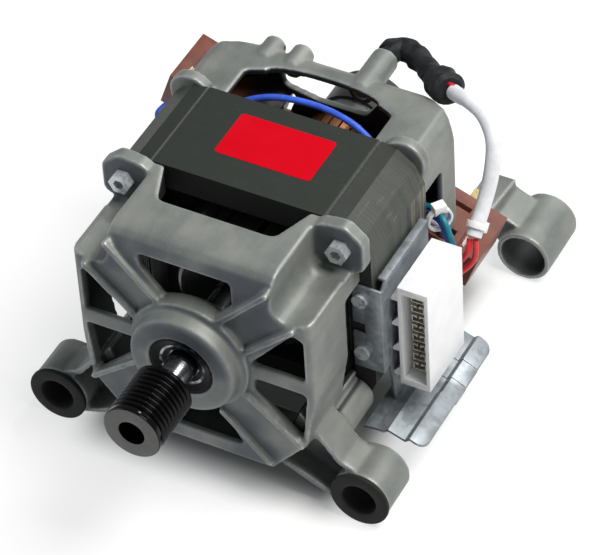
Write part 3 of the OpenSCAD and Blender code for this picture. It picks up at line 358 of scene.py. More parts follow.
@dataclass(frozen=True)
class CastAlloy(Finish):
    """Satin die-cast alloy with edges rubbed bright and given a painted highlight, and painted shade in
    hollows, on faces towards the belt end and inside the motor.
    """

    light: Colour = (0.248, 0.261, 0.237)
    dark: Colour = (0.142, 0.156, 0.154)
    # Rubbed edge colour with a painted highlight, then painted shade colours for hollows, front faces and the
    # inside with its brush dust
    worn_and_highlight: Colour = (0.50, 0.51, 0.50)
    hollow_shade: Colour = (0.024, 0.028, 0.036)
    shade: Colour = (0.060, 0.070, 0.088)
    soot_and_shade: Colour = (0.010, 0.011, 0.015)
    cloud: float = 22.0
    flow: float = 7.0
    flow_way: Point = (1.0, 0.35, 1.0)
    grain: float = 0.9
    pit: float = 2.6
    front_shade_patch: float = 30.0
    relief: float = 0.16
    rough: float = 0.40
    metal: float = 0.45
    specular: float = 0.3
    edge_rub_and_highlight_band: Band = (0.505, 0.57)
    crease_shade_band: Band = (0.495, 0.43)
    front_shade_band: Band = (-0.35, -0.90)
    # Room inside the motor, and how softly its painted shade and brush dust end
    half_x: float = 53.0
    low_z: float = -49.0
    front_y: float = 37.5
    rear_y: float = 159.5
    fade: float = 2.0
    rear_fade: float = 0.6
    inward_band: Band = (-2.0, -14.0)
    wall_band: Band = (-0.6, -0.9)
    wall_y: Band = (128.0, 134.0)
    # Lug bores and the ear of each upper screw, both with painted shade
    lug_x: float = 64.8
    lug_z: float = -54.3
    bore_r: float = 9.25
    bore_rim: Band = (0.6, 0.2)
    ear_y: float = 68.0
    ear_shade_band: Band = (4.0, 1.5)

    def inside(self, g: ShaderGraph) -> Value:
        """Mask of the faces that look into the motor, which get painted shade and brush dust.

        Args:
            g: The material's graph.

        Returns:
            One on those faces, and nought elsewhere.
        """
        x, y, z = g.axes(g.place)
        nx, ny, nz = g.axes(g.normal)
        inward = (nx * x + nz * z).step(*self.inward_band)
        end_wall = ny.ramp(*self.wall_band) * y.step(*self.wall_y)
        room = y.step(self.front_y, self.front_y + self.fade)
        room = room * y.step(self.rear_y, self.rear_y - self.rear_fade)
        room = room * abs(x).step(self.half_x, self.half_x - self.fade)
        room = room * z.step(self.low_z, self.low_z + self.fade)
        return room * inward.larger(end_wall)

    def bores(self, g: ShaderGraph) -> Value:
        """Mask of the lug bores, which get painted shade.

        Args:
            g: The material's graph.

        Returns:
            One in the bores, and nought elsewhere.
        """
        x, _, z = g.axes(g.place)
        dx, dz = abs(x) - self.lug_x * MM, z - self.lug_z * MM
        start, end = self.bore_rim
        return ((dx * dx + dz * dz) ** 0.5).step(self.bore_r + start, self.bore_r + end)

    def make(self, g: ShaderGraph) -> bpy.types.Material:
        """Cloudy grey skin with cast grain; painted shade on faces towards the belt end, on each ear, in
        creases, in the lug bores and inside with brush dust; edges rubbed bright with a painted highlight.
        """
        curve = g.node("ShaderNodeNewGeometry", out="Pointiness")
        cloud = g.noise(self.cloud)
        flow = g.noise(self.flow, 3.0, g.stretched(self.flow_way))
        grain = g.noise(self.grain, 5.0)
        pits = g.noise(self.pit, 2.0)
        front_shade_patch = g.noise(self.front_shade_patch, 2.0)
        # Convex edges, rubbed bright and given a painted highlight
        edge = curve.ramp(*self.edge_rub_and_highlight_band)
        # Creases, which get painted shade
        deep = curve.ramp(*self.crease_shade_band)
        # Faces towards the belt end, which get painted shade
        front_shade = g.axes(g.normal)[1].ramp(*self.front_shade_band)
        depth = abs(g.axes(g.place)[1] - self.ear_y * MM)
        ear_shade = front_shade * depth.step(*self.ear_shade_band)
        skin = g.mix(cloud.ramp(*SOFT) * 0.7 + flow.ramp(0.35, 0.65) * 0.3, self.dark, self.light)
        skin = g.mix(grain.ramp(0.35, 0.75) * 0.25, skin, self.light)
        # Painted shade on faces towards the belt end, in patches
        skin = g.mix(front_shade * (0.20 + 0.62 * front_shade_patch.ramp(0.38, 0.62)), skin, self.shade)
        # Painted shade on the front faces of each ear at the upper screws
        skin = g.mix(ear_shade * 0.62, skin, self.shade)
        # Edges rubbed bright: partly wear, partly a painted highlight
        skin = g.mix(edge * (0.30 + pits * 0.6), skin, self.worn_and_highlight)
        # Painted shade in creases
        skin = g.mix(deep * 0.85, skin, self.hollow_shade)
        # Painted shade and brush dust on faces inside the motor
        skin = g.mix(self.inside(g) * (0.80 + 0.15 * flow), skin, self.soot_and_shade)
        # Painted shade in the lug bores
        skin = g.mix(self.bores(g) * 0.7, skin, self.hollow_shade)
        return g.surface(
            Base_Color=skin,
            Roughness=self.rough + 0.16 * cloud + 0.10 * grain - 0.12 * edge,
            Metallic=self.metal,
            Normal=g.bump(grain * 0.7 + pits * 0.3, self.relief, 0.5),
            Specular_IOR_Level=self.specular,
        )


@dataclass(frozen=True)
class StackLacquer(Finish):
    """Dark lacquer over the edges of stacked sheets."""

    light: Colour = (0.062, 0.068, 0.060)
    dark: Colour = (0.032, 0.036, 0.030)
    flat: Colour = (0.017, 0.021, 0.017)
    cut: Colour = (0.012, 0.013, 0.012)
    fleck: Colour = (0.17, 0.18, 0.17)
    bare: Colour = (0.22, 0.205, 0.165)
    bare_lit_rear_y: Band = (94.0, 112.0)
    sheet: float = 0.65
    sheet_way: Point = (0.015, 1.0, 0.015)
    scratch: float = 0.5
    scratch_way: Point = (0.25, 0.03, 0.25)
    cloud: float = 9.0
    speck: float = 0.8
    relief: float = 0.05
    rough: float = 0.44
    metal: float = 0.1
    specular: float = 0.25
    cut_band: Band = (0.5, 0.9)
    flat_band: Band = (0.95, 0.99)
    side_band: Band = (0.9, 0.98)

    def make(self, g: ShaderGraph) -> bpy.types.Material:
        """Smooth dark flats, rubbed sides with uncoated sheet lines lighter at the rear, partly painted light
        past the front shield's shadow, and near black cut faces.
        """
        out, across, rise = g.axes(g.normal)
        cut = abs(across).ramp(*self.cut_band)
        flat = abs(rise).ramp(*self.flat_band)
        # Uncoated rear of the sides, partly painted light past the front shield's shadow
        bare = abs(out).ramp(*self.side_band) * g.axes(g.place)[1].step(*self.bare_lit_rear_y)
        side = (1.0 - cut) * (1.0 - flat)
        lines = g.noise(self.sheet, 1.0, g.stretched(self.sheet_way))
        cloud = g.noise(self.cloud)
        speck = g.noise(self.speck, 2.0).ramp(0.68, 0.76)
        scratch = g.noise(self.scratch, 2.0, g.stretched(self.scratch_way)).ramp(0.60, 0.72)
        tone = g.mix(lines.ramp(0.36, 0.64) * 0.6, self.light, self.dark)
        tone = g.mix(cloud.ramp(0.35, 0.75) * 0.4, tone, self.light)
        tone = g.mix(scratch * side * 0.25, tone, self.fleck)
        # Lighter rear sheet lines: uncoated sheet and painted light
        tone = g.mix(bare * lines.ramp(0.56, 0.42) * (0.4 + 0.6 * cloud), tone, self.bare)
        tone = g.mix(flat * (0.8 + 0.2 * cloud), tone, self.flat)
        tone = g.mix(cut, tone, self.cut)
        tone = g.mix(speck * 0.3, tone, self.fleck)
        return g.surface(
            Base_Color=tone,
            Roughness=self.rough + 0.16 * cloud + 0.10 * flat,
            Metallic=self.metal,
            Normal=g.bump(lines * side + speck * 0.2, self.relief, 0.5),
            Specular_IOR_Level=self.specular,
        )


@dataclass(frozen=True)
class TurnedMetal(Finish):
    """Metal turned or ground about the shaft."""

    light: Colour
    dark: Colour
    rough: float = 0.16
    score: float = 0.22
    stain: float = 6.0
    relief: float = 0.03

    def make(self, g: ShaderGraph) -> bpy.types.Material:
        """Fine score lines that run round the shaft."""
        y = g.axes(g.place)[1]
        ring = g.node("ShaderNodeCombineXYZ", inputs={"X": y, "Y": g.radius()})
        score = g.noise(self.score, 3.0, ring)
        stain = g.noise(self.stain, 3.0)
        tone = g.mix(score.ramp(*SOFT) * 0.6 + stain * 0.3, self.light, self.dark)
        rough = self.rough + 0.20 * score + 0.12 * stain
        relief = g.bump(score, self.relief, 0.5)
        return g.surface(Base_Color=tone, Roughness=rough, Metallic=1.0, Normal=relief)


@dataclass(frozen=True)
class PlatedSteel(Finish):
    """Plated metal, from plain plating to large galvanised crystals."""

    light: Colour
    dark: Colour
    crystal: float
    rough: float
    metal: float = 0.85
    cloud: float = 7.0
    scratch: float = 0.5
    scratch_way: Point = (0.3, 0.05, 1.0)
    relief: float = 0.03

    def make(self, g: ShaderGraph) -> bpy.types.Material:
        """Crystal patches with a clouded film."""
        patch = g.cells(self.crystal)
        cloud = g.noise(self.cloud)
        scratch = g.noise(self.scratch, 2.0, g.stretched(self.scratch_way))
        tone = g.mix(0.55 * patch + 0.45 * cloud.ramp(*SOFT), self.dark, self.light)
        rough = self.rough + 0.18 * patch + 0.10 * scratch
        relief = g.bump(patch * 0.5 + scratch * 0.5, self.relief, 0.4)
        return g.surface(Base_Color=tone, Roughness=rough, Metallic=self.metal, Normal=relief)


@dataclass(frozen=True)
class Moulding(Finish):
    """Moulded plastic or rubber with a fine skin."""

    light: Colour
    dark: Colour
    rough: float
    grain: float = 0.7
    depth: float = 0.05
    coat: float = 0.0
    fleck: float = 0.0
    specular: float = 0.5
    # Reach, fade and colour of painted shade with brush dust round the shaft
    dust_and_shade_r: float = 0.0
    dust_and_shade_fade: float = 7.0
    dust: Colour = (0.008, 0.008, 0.010)
    rear_band: Band = (0.2, 0.6)
    cloud: float = 8.0
    filler: float = 0.9

    def make(self, g: ShaderGraph) -> bpy.types.Material:
        """Cloudy colour, moulded grain, flecks of filler, and painted shade with brush dust near the shaft.
        """
        cloud = g.noise(self.cloud, 3.0)
        grain = g.noise(self.grain)
        tone = g.mix(cloud.ramp(*SOFT) * 0.7 + grain * 0.3, self.dark, self.light)
        tone = g.mix(g.noise(self.filler, 3.0).ramp(0.58, 0.70) * self.fleck, tone, self.light)
        if self.dust_and_shade_r:
            near = g.radius().step(self.dust_and_shade_r + self.dust_and_shade_fade, self.dust_and_shade_r)
            open_rear = g.axes(g.normal)[1].ramp(*self.rear_band)
            # Painted shade with brush dust near the shaft, kept off faces open to the rear
            tone = g.mix(near * (0.94 - 0.94 * open_rear), tone, self.dust)
        return g.surface(
            Base_Color=tone,
            Roughness=self.rough + 0.14 * cloud + 0.10 * grain,
            Normal=g.bump(grain, self.depth, 0.5),
            Coat_Weight=self.coat,
            Specular_IOR_Level=self.specular,
        )


@dataclass(frozen=True)
class PulleyBlack(Finish):
    """Gloss black turned pulley with a matt front face."""

    gloss: Colour = (0.003, 0.003, 0.0035)
    matt: Colour = (0.15, 0.153, 0.146)
    face_y: float = -12.73
    face_rim: Band = (0.5, 0.2)
    face_band: Band = (-0.80, -0.95)
    dust: float = 1.2
    relief: float = 0.03
    rough: float = 0.06
    specular: float = 0.16

    def make(self, g: ShaderGraph) -> bpy.types.Material:
        """Black gloss on the grooves, rubbed matt on the face at the belt end."""
        start, end = self.face_rim
        front = g.axes(g.normal)[1].ramp(*self.face_band)
        front = front * g.axes(g.place)[1].step(self.face_y + start, self.face_y + end)
        dust = g.noise(self.dust)
        tone = g.mix(front * (0.6 + 0.4 * dust), self.gloss, self.matt)
        tone = g.mix(dust.ramp(0.6, 0.85) * 0.06, tone, self.matt)
        return g.surface(
            Base_Color=tone,
            Roughness=self.rough + 0.10 * dust + 0.46 * front,
            Normal=g.bump(dust, self.relief, 0.4),
            Specular_IOR_Level=self.specular,
        )


@dataclass(frozen=True)
class LippedSeal(Finish):
    """Gloss black seal with a bright steel lip round the shaft."""

    rubber: Colour = (0.003, 0.003, 0.004)
    steel: Colour = (0.34, 0.355, 0.375)
    lip_in: float = 8.5
    lip_out: float = 9.5
    fade: float = 0.2
    wear: float = 1.5
    smear: float = 5.0
    relief: float = 0.04
    rough: float = 0.16
    specular: float = 0.06

    def make(self, g: ShaderGraph) -> bpy.types.Material:
        """Black with a ring of bare steel."""
        radius = g.radius()
        lip = radius.step(self.lip_in - self.fade, self.lip_in)
        lip = lip * radius.step(self.lip_out, self.lip_out - self.fade)
        wear = g.noise(self.wear, 3.0)
        tone = g.mix(lip * g.noise(self.smear, 2.0).ramp(0.35, 0.6), self.rubber, self.steel)
        return g.surface(
            Base_Color=tone,
            Roughness=self.rough + 0.12 * wear,
            Metallic=lip,
            Normal=g.bump(wear, self.relief, 0.4),
            Specular_IOR_Level=self.specular,
        )


@dataclass(frozen=True)
class EnamelWire(Finish):
    """Enamelled copper wire under varnish."""

    light: Colour = (0.36, 0.13, 0.052)
    dark: Colour = (0.07, 0.022, 0.010)
    belt_end_shade: Colour = (0.010, 0.009, 0.010)
    belt_end_shade_y: Band = (84.0, 112.0)
    pool: float = 4.0
    fine: float = 0.7
    relief: float = 0.08
    rough: float = 0.20
    metal: float = 0.7
    coat: float = 0.4

    def make(self, g: ShaderGraph) -> bpy.types.Material:
        """Amber varnish pooled over copper, with painted shade darkening it to black towards the belt end."""
        pool = g.noise(self.pool)
        fine = g.noise(self.fine, 3.0)
        tone = g.mix(pool.ramp(0.35, 0.70) * 0.7 + fine * 0.3, self.dark, self.light)
        # Painted shade, black towards the belt end
        tone = g.mix(g.axes(g.place)[1].step(*self.belt_end_shade_y), self.belt_end_shade, tone)
        return g.surface(
            Base_Color=tone,
            Roughness=self.rough + 0.20 * pool,
            Metallic=self.metal,
            Normal=g.bump(fine, self.relief, 0.5),
            Coat_Weight=self.coat,
        )


@dataclass(frozen=True)
class Insulation(Finish):
    """Drawn lead insulation, with a braid that follows the lead or a crumpled skin."""

    light: Colour
    dark: Colour
    rough: float = 0.34
    weave: float = 0.0
    crumple: float = 0.0
    specular: float = 0.5
    weave_pitch: float = 1.1
    strands: int = 12
    cloud: float = 5.0
    skin: float = 0.8
    fold: float = 4.5

    def make(self, g: ShaderGraph) -> bpy.types.Material:
        """Drawn skin, or a braid where the lead has one."""
        along = g.node("ShaderNodeAttribute", {"attribute_name": "along"}, out="Fac")
        turn = g.node("ShaderNodeAttribute", {"attribute_name": "round"}, out="Fac")
        cloud = g.noise(self.cloud, 3.0)
        phase = along * (math.tau / (self.weave_pitch * MM))
        swing = turn * (math.tau * self.strands)
        braid = ((phase + swing).sine() * (phase - swing).sine()) * 0.5 + 0.5
        tone = g.mix(cloud.ramp(*SOFT), self.dark, self.light)
        tone = g.mix(braid * 0.25 * self.weave, tone, self.dark)
        skin = g.noise(self.skin, 2.0) * 0.03 + braid * (0.1 * self.weave)
        skin = skin + g.noise(self.fold, 3.0) * self.crumple
        return g.surface(
            Base_Color=tone,
            Roughness=self.rough + 0.14 * cloud + 0.10 * self.weave * braid,
            Normal=g.bump(skin, 1.0, 0.5),
            Specular_IOR_Level=self.specular,
        )


@dataclass(frozen=True)
class Film(Finish):
    """Smooth coloured film with faint rub marks."""

    colour: Colour = (0.47, 0.002, 0.009)
    faded: Colour = (0.51, 0.004, 0.014)
    cloud: float = 10.0
    rub: float = 0.6
    rub_way: Point = (1.0, 0.1, 1.0)
    relief: float = 0.02
    rough: float = 0.56
    specular: float = 0.02

    def make(self, g: ShaderGraph) -> bpy.types.Material:
        """Even colour, a little faded in clouds, with a soft gloss."""
        cloud = g.noise(self.cloud, 3.0)
        rub = g.noise(self.rub, 3.0, g.stretched(self.rub_way))
        tone = g.mix(cloud.ramp(0.4, 0.8) * 0.6 + rub * 0.15, self.colour, self.faded)
        return g.surface(
            Base_Color=tone,
            Roughness=self.rough + 0.12 * cloud + 0.10 * rub,
            Normal=g.bump(rub, self.relief, 0.4),
            Specular_IOR_Level=self.specular,
        )


@dataclass(frozen=True)
class Sweep(Finish):
    """Pale studio sweep, lit from below so that shadows stay faint."""

    paper: Colour = (0.36, 0.36, 0.36)
    fibre: Colour = (0.32, 0.32, 0.32)
    fibre_size: float = 60.0
    white: Colour = (1.0, 1.0, 1.0)
    black: Colour = (0.0, 0.0, 0.0)
    glow: float = 0.66
    rough: float = 0.9
    # Footprint of the motor, where the glow is cut as a painted shadow under it
    middle_y: float = 104.0
    half_x: float = 62.0
    half_y: float = 82.0
    fade: Band = (0.7, 1.0)

    def make(self, g: ShaderGraph) -> bpy.types.Material:
        """Matt paper over a glowing table, with the glow cut under the motor as a painted shadow."""
        x, y, _ = g.axes(g.place)
        wide = abs(x * (1.0 / (self.half_x * MM))).ramp(*self.fade)
        deep = abs((y - self.middle_y * MM) * (1.0 / (self.half_y * MM))).ramp(*self.fade)
        # Painted shadow: no glow within the motor's footprint
        glow_beyond_shadow = 1.0 - (1.0 - wide) * (1.0 - deep)
        return g.surface(
            Base_Color=g.mix(g.noise(self.fibre_size, 2.0) * 0.05, self.paper, self.fibre),
            Roughness=self.rough,
            Specular_IOR_Level=0.0,
            Emission_Color=g.mix(glow_beyond_shadow, self.black, self.white),
            Emission_Strength=self.glow,
        )


CAST = CastAlloy("satin_cast_alloy")
LACQUER = StackLacquer("lacquered_sheets")
STEEL = TurnedMetal("ground_steel", (0.56, 0.57, 0.59), (0.26, 0.27, 0.29))
SHAFT = TurnedMetal("turned_shaft", (0.34, 0.36, 0.38), (0.05, 0.053, 0.06), rough=0.08, score=0.6)
COPPER_BARS = TurnedMetal("turned_copper", (0.60, 0.27, 0.14), (0.30, 0.12, 0.06), rough=0.28)
GALVANISED = PlatedSteel(
    "galvanised_steel", (0.32, 0.352, 0.375), (0.19, 0.212, 0.230), crystal=2.2, rough=0.32, metal=0.68
)
ZINC = PlatedSteel(
    "zinc_plated_steel", (0.64, 0.68, 0.70), (0.44, 0.47, 0.49), crystal=1.6, rough=0.18, metal=0.6
)
CONTACT = PlatedSteel(
    "tinned_contact", (0.66, 0.63, 0.55), (0.34, 0.32, 0.26), crystal=0.8, rough=0.24, metal=0.55
)
SPRING = PlatedSteel("spring_wire", (0.60, 0.60, 0.62), (0.36, 0.36, 0.38), crystal=0.6, rough=0.18)
BRASS = PlatedSteel("rolled_brass", (0.45, 0.36, 0.18), (0.26, 0.20, 0.10), crystal=1.2, rough=0.30)
PULLEY = PulleyBlack("gloss_black_pulley")
WIRE = EnamelWire("varnished_wire")
BLACK = Moulding("black_moulding", (0.030, 0.030, 0.032), (0.012, 0.012, 0.013), rough=0.36)
RUBBER = Moulding(
    "bush_rubber", (0.014, 0.015, 0.013), (0.007, 0.008, 0.007), rough=0.62, grain=0.5, depth=0.08,
    specular=0.25,
)
SEAL = LippedSeal("gloss_seal")
PHENOLIC = Moulding(
    "brown_moulding", (0.165, 0.048, 0.028), (0.10, 0.026, 0.015), rough=0.34, grain=0.8, depth=0.08,
    coat=0.15, fleck=0.5, specular=0.35, dust_and_shade_r=40.0,
)
HUB = Moulding(
    "brown_hub", (0.14, 0.04, 0.022), (0.07, 0.02, 0.012), rough=0.40, grain=0.8, depth=0.06
)
WHITE = Moulding(
    "white_moulding", (0.74, 0.75, 0.75), (0.67, 0.68, 0.69), rough=0.20, grain=2.5, depth=0.01, coat=0.2
)
NYLON = Moulding(
    "clear_nylon", (0.80, 0.80, 0.77), (0.66, 0.67, 0.65), rough=0.24, grain=0.8, depth=0.03, coat=0.2
)
CARBON = Moulding(
    "brush_carbon", (0.035, 0.035, 0.037), (0.012, 0.012, 0.013), rough=0.55, grain=0.4, depth=0.08
)
FERRITE = Moulding(
    "sintered_magnet", (0.060, 0.060, 0.063), (0.030, 0.030, 0.032), rough=0.5, grain=0.4, depth=0.06
)
BOOT = Insulation(
    "black_boot", (0.013, 0.015, 0.016), (0.005, 0.006, 0.008), rough=0.50, crumple=1.0, specular=0.22
)
SLEEVE = Insulation("braided_sleeve", (0.69, 0.70, 0.72), (0.58, 0.59, 0.62), rough=0.42, weave=1.0)
RED = Insulation("red_insulation", (0.60, 0.014, 0.020), (0.44, 0.008, 0.012))
GREY = Insulation("grey_insulation", (0.34, 0.34, 0.35), (0.22, 0.22, 0.23))
TEAL = Insulation("teal_insulation", (0.0, 0.16, 0.23), (0.0, 0.10, 0.15))
BLUE = Insulation("blue_insulation", (0.045, 0.125, 0.68), (0.028, 0.08, 0.48))
LABEL = Film("red_film")


# Making pieces


def joined(mesh: bpy.types.Mesh, outward: bool = False) -> bpy.types.Mesh:
    """Join a mesh's doubled corners.

    Args:
        mesh: The mesh, which is changed.
        outward: Whether its faces are also turned outwards.

    Returns:
        The same mesh.
    """
    shape = bmesh.new()
    shape.from_mesh(mesh)
    bmesh.ops.remove_doubles(shape, verts=shape.verts, dist=MERGE)
    if outward:
        bmesh.ops.recalc_face_normals(shape, faces=shape.faces)
    shape.to_mesh(mesh)
    shape.free()
    return mesh


def solid(name: str, points: Iterable[Sequence[float]], faces: Iterable[Sequence[int]]) -> bpy.types.Mesh:
    """A mesh from points in millimetres, with its faces turned outwards.

    Args:
        name: The mesh's name.
        points: Corner points.
        faces: Corner numbers of each face.

    Returns:
        The mesh, in metres.
    """
    mesh = bpy.data.meshes.new(name)
    mesh.from_pydata([tuple(c * MM for c in p) for p in points], [], [tuple(f) for f in faces])
    return joined(mesh, outward=True)


def prism(name: str, low: Sequence[Point], high: Sequence[Point]) -> bpy.types.Mesh:
    """A closed body between two outlines with as many corners each.

    Args:
        name: The mesh's name.
        low: Corners of one end in millimetres.
        high: Corners of the other end, in the same order.

    Returns:
        The mesh, in metres.
    """
    n = len(low)
    sides = [(i, (i + 1) % n, n + (i + 1) % n, n + i) for i in range(n)]
    return solid(name, [*low, *high], [range(n - 1, -1, -1), range(n, 2 * n), *sides])


def path_mesh(name: str, routes: Iterable[np.ndarray]) -> bpy.types.Mesh:
    """Open lines through points in millimetres, as edges."""
    points: list[np.ndarray] = []
    edges: list[tuple[int, int]] = []
    for route in routes:
        first = len(points)
        points.extend(route)
        edges.extend((first + i, first + i + 1) for i in range(len(route) - 1))
    mesh = bpy.data.meshes.new(name)
    mesh.from_pydata([tuple(p * MM) for p in points], edges, [])
    return mesh


def smooth_route(points: Sequence[Point], steps: int = 8) -> np.ndarray:
    """Smooth curve through route points.

    Args:
        points: Route points in millimetres.
        steps: Pieces between two route points.

    Returns:
        Points along the curve.
    """
    p = np.array(points, float)
    last = len(p) - 1
    made = []
    for i in range(last):
        a, b, c, d = p[max(i - 1, 0)], p[i], p[i + 1], p[min(i + 2, last)]
        for t in np.linspace(0.0, 1.0, steps, endpoint=False):
            bend = 2 * a - 5 * b + 4 * c - d
            made.append(0.5 * (2 * b + (c - a) * t + bend * t**2 + (3 * b - a - 3 * c + d) * t**3))
    return np.array([*made, p[last]])


def evaluated(obj: bpy.types.Object) -> bpy.types.Mesh:
    """The mesh of an object with its modifiers worked in, after which the object is dropped."""
    bpy.context.view_layer.update()
    graph = bpy.context.evaluated_depsgraph_get()
    mesh = bpy.data.meshes.new_from_object(obj.evaluated_get(graph), depsgraph=graph)
    bpy.data.objects.remove(obj)
    return mesh


def linked(name: str, mesh: bpy.types.Mesh) -> bpy.types.Object:
    """A new object in the scene."""
    obj = bpy.data.objects.new(name, mesh)
    bpy.context.scene.collection.objects.link(obj)
    return obj


def merged(node: str) -> bpy.types.Mesh:
    """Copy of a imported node's mesh with its corners joined."""
    return joined(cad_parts[node].data.copy())


def eased(node: str, width: float, segments: int = 2) -> bpy.types.Mesh:
    """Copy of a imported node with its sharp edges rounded.

    Args:
        node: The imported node.
        width: Width of the rounding in millimetres.
        segments: Steps across it.

    Returns:
        The rounded mesh.
    """
    obj = linked("easing", merged(node))
    flat = obj.modifiers.new("flat", "DECIMATE")
    flat.decimate_type = "DISSOLVE"
    flat.angle_limit = math.radians(FLAT_ANGLE)
    edge = obj.modifiers.new("edge", "BEVEL")
    edge.width = width * MM
    edge.segments = segments
    edge.limit_method = "ANGLE"
    edge.angle_limit = math.radians(EDGE_ANGLE)
    edge.use_clamp_overlap = True
    edge.harden_normals = False
    mesh = evaluated(obj)
    mesh.shade_smooth()
    mesh.set_sharp_from_angle(angle=math.radians(SHARP_ANGLE))
    return mesh


def piece(
    name: str,
    mesh: bpy.types.Mesh,
    finish: Finish,
    body: Body = Body.STATOR,
    stands_for: Sequence[str] = (),
) -> bpy.types.Object:
    """Put a finished mesh on its body.

    Args:
        name: The piece's name.
        mesh: Its mesh, in place and in metres.
        finish: Its finish.
        body: The body that it rides on.
        stands_for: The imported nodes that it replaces.

    Returns:
        The piece.
    """
    mesh.materials.clear()
    mesh.materials.append(finish.material())
    obj = linked(name, mesh)
    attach(obj, body.value)
    if stands_for:
        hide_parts(*stands_for)
    log.info("%s: %d faces on %s", name, len(mesh.polygons), body.value)
    return obj


def dress(finish: Finish, *nodes: str) -> None:
    """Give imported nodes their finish."""
    for node in nodes:
        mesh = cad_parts[node].data
        mesh.materials.clear()
        mesh.materials.append(finish.material())
        log.info("%s: %s", node, finish.name)


class GeometryGraph(Graph):
    """A geometry node tree with named inputs for its sizes."""

    def __init__(self, name: str, sizes: dict[str, str]) -> None:
        """Make the tree and its sockets.

        Args:
            name: The tree's name.
            sizes: Socket types by input name.
        """
        super().__init__(bpy.data.node_groups.new(name, "GeometryNodeTree"))
        face = self.tree.interface
        face.new_socket("Geometry", in_out="OUTPUT", socket_type="NodeSocketGeometry")
        face.new_socket("Geometry", in_out="INPUT", socket_type="NodeSocketGeometry")
        for key, kind in sizes.items():
            face.new_socket(key, in_out="INPUT", socket_type=kind)
        face.new_socket("Finish", in_out="INPUT", socket_type="NodeSocketMaterial")
        self.given = self.node("NodeGroupInput", out="Geometry")

    def size(self, name: str) -> Value:
        """A named input of the tree."""
        return self.given.output(name)

    def kept(self, shape: Value, name: str, value: Value) -> Value:
        """Keep a value at the points of a shape.

        Args:
            shape: The geometry made so far.
            name: Name of the attribute.
            value: What it holds.

        Returns:
            The geometry with the attribute.
        """
        kind = {"data_type": "FLOAT", "domain": "POINT"}
        inputs = {"Geometry": shape, "Name": name, "Value": value}
        return self.node("GeometryNodeStoreNamedAttribute", kind, inputs)

    def close(self, shape: Value, smooth: bool) -> bpy.types.NodeTree:
        """End the tree in a plain mesh.

        Args:
            shape: The geometry made so far.
            smooth: Whether its faces are shaded smooth.

        Returns:
            The tree.
        """
        real = self.node("GeometryNodeRealizeInstances", inputs={"Geometry": shape})
        shaded = self.node(
            "GeometryNodeSetShadeSmooth", inputs={"Geometry": real, "Shade Smooth": smooth}
        )
        painted = self.node(
            "GeometryNodeSetMaterial", inputs={"Geometry": shaded, "Material": self.size("Finish")}
        )
        self.node("NodeGroupOutput", inputs={"Geometry": painted})
        return self.tree


def grown(tree: bpy.types.NodeTree, base: bpy.types.Mesh, finish: Finish, **sizes: Any) -> bpy.types.Mesh:
    """Run a geometry tree on a base mesh.

    Args:
        tree: The tree.
        base: The mesh that enters it.
        finish: Finish of the result.
        sizes: Values of the tree's named inputs, with _ for a space.

    Returns:
        A plain mesh.
    """
    obj = linked("growing", base)
    modifier = obj.modifiers.new("grow", "NODES")
    modifier.node_group = tree
    given = {key.replace("_", " "): value for key, value in sizes.items()}
    given["Finish"] = finish.material()
    for item in tree.interface.items_tree:
        if item.in_out == "INPUT" and item.name in given:
            modifier[item.identifier] = given[item.name]
    return evaluated(obj)


def tube_tree() -> bpy.types.NodeTree:
    """Tree that sweeps a round section along lines, with the way along and round it kept."""
    g = GeometryGraph("swept_tube", {"Radius": "NodeSocketFloat", "Sides": "NodeSocketInt"})
    line = g.node("GeometryNodeMeshToCurve", inputs={"Mesh": g.given})
    line = g.kept(line, "along", g.node("GeometryNodeSplineParameter", out="Length"))
    section = g.node(
        "GeometryNodeCurvePrimitiveCircle",
        {"mode": "RADIUS"},
        {"Resolution": g.size("Sides"), "Radius": g.size("Radius")},
    )
    section = g.kept(section, "round", g.node("GeometryNodeSplineParameter", out="Factor"))
    swell = g.node(
        "GeometryNodeInputNamedAttribute", {"data_type": "FLOAT"}, {"Name": "swell"}, "Attribute"
    )
    inputs = {"Curve": line, "Profile Curve": section, "Scale": swell + 1.0, "Fill Caps": True}
    return g.close(g.node("GeometryNodeCurveToMesh", inputs=inputs), True)


def ring_tree() -> bpy.types.NodeTree:
    """Tree that sets copies of a shape round the shaft."""
    g = GeometryGraph("set_round_shaft", {"Count": "NodeSocketInt", "First": "NodeSocketFloat"})
    spots = g.node("GeometryNodeMeshLine", inputs={"Count": g.size("Count"), "Offset": (0.0, 0.0, 0.0)})
    index = g.node("GeometryNodeInputIndex")
    angle = (index + g.size("First")) * math.tau / g.size("Count")
    turn = g.node("ShaderNodeCombineXYZ", inputs={"Y": angle})
    copies = g.node(
        "GeometryNodeInstanceOnPoints", inputs={"Points": spots, "Instance": g.given, "Rotation": turn}
    )
    return g.close(copies, False)


def row_tree() -> bpy.types.NodeTree:
    """Tree that sets copies of a shape in a row up Z."""
    g = GeometryGraph("set_in_row", {"Count": "NodeSocketInt", "Pitch": "NodeSocketFloat"})
    step = g.node("ShaderNodeCombineXYZ", inputs={"Z": g.size("Pitch")})
    spots = g.node("GeometryNodeMeshLine", inputs={"Count": g.size("Count"), "Offset": step})
    copies = g.node("GeometryNodeInstanceOnPoints", inputs={"Points": spots, "Instance": g.given})
    return g.close(copies, False)


# Sub-assemblies


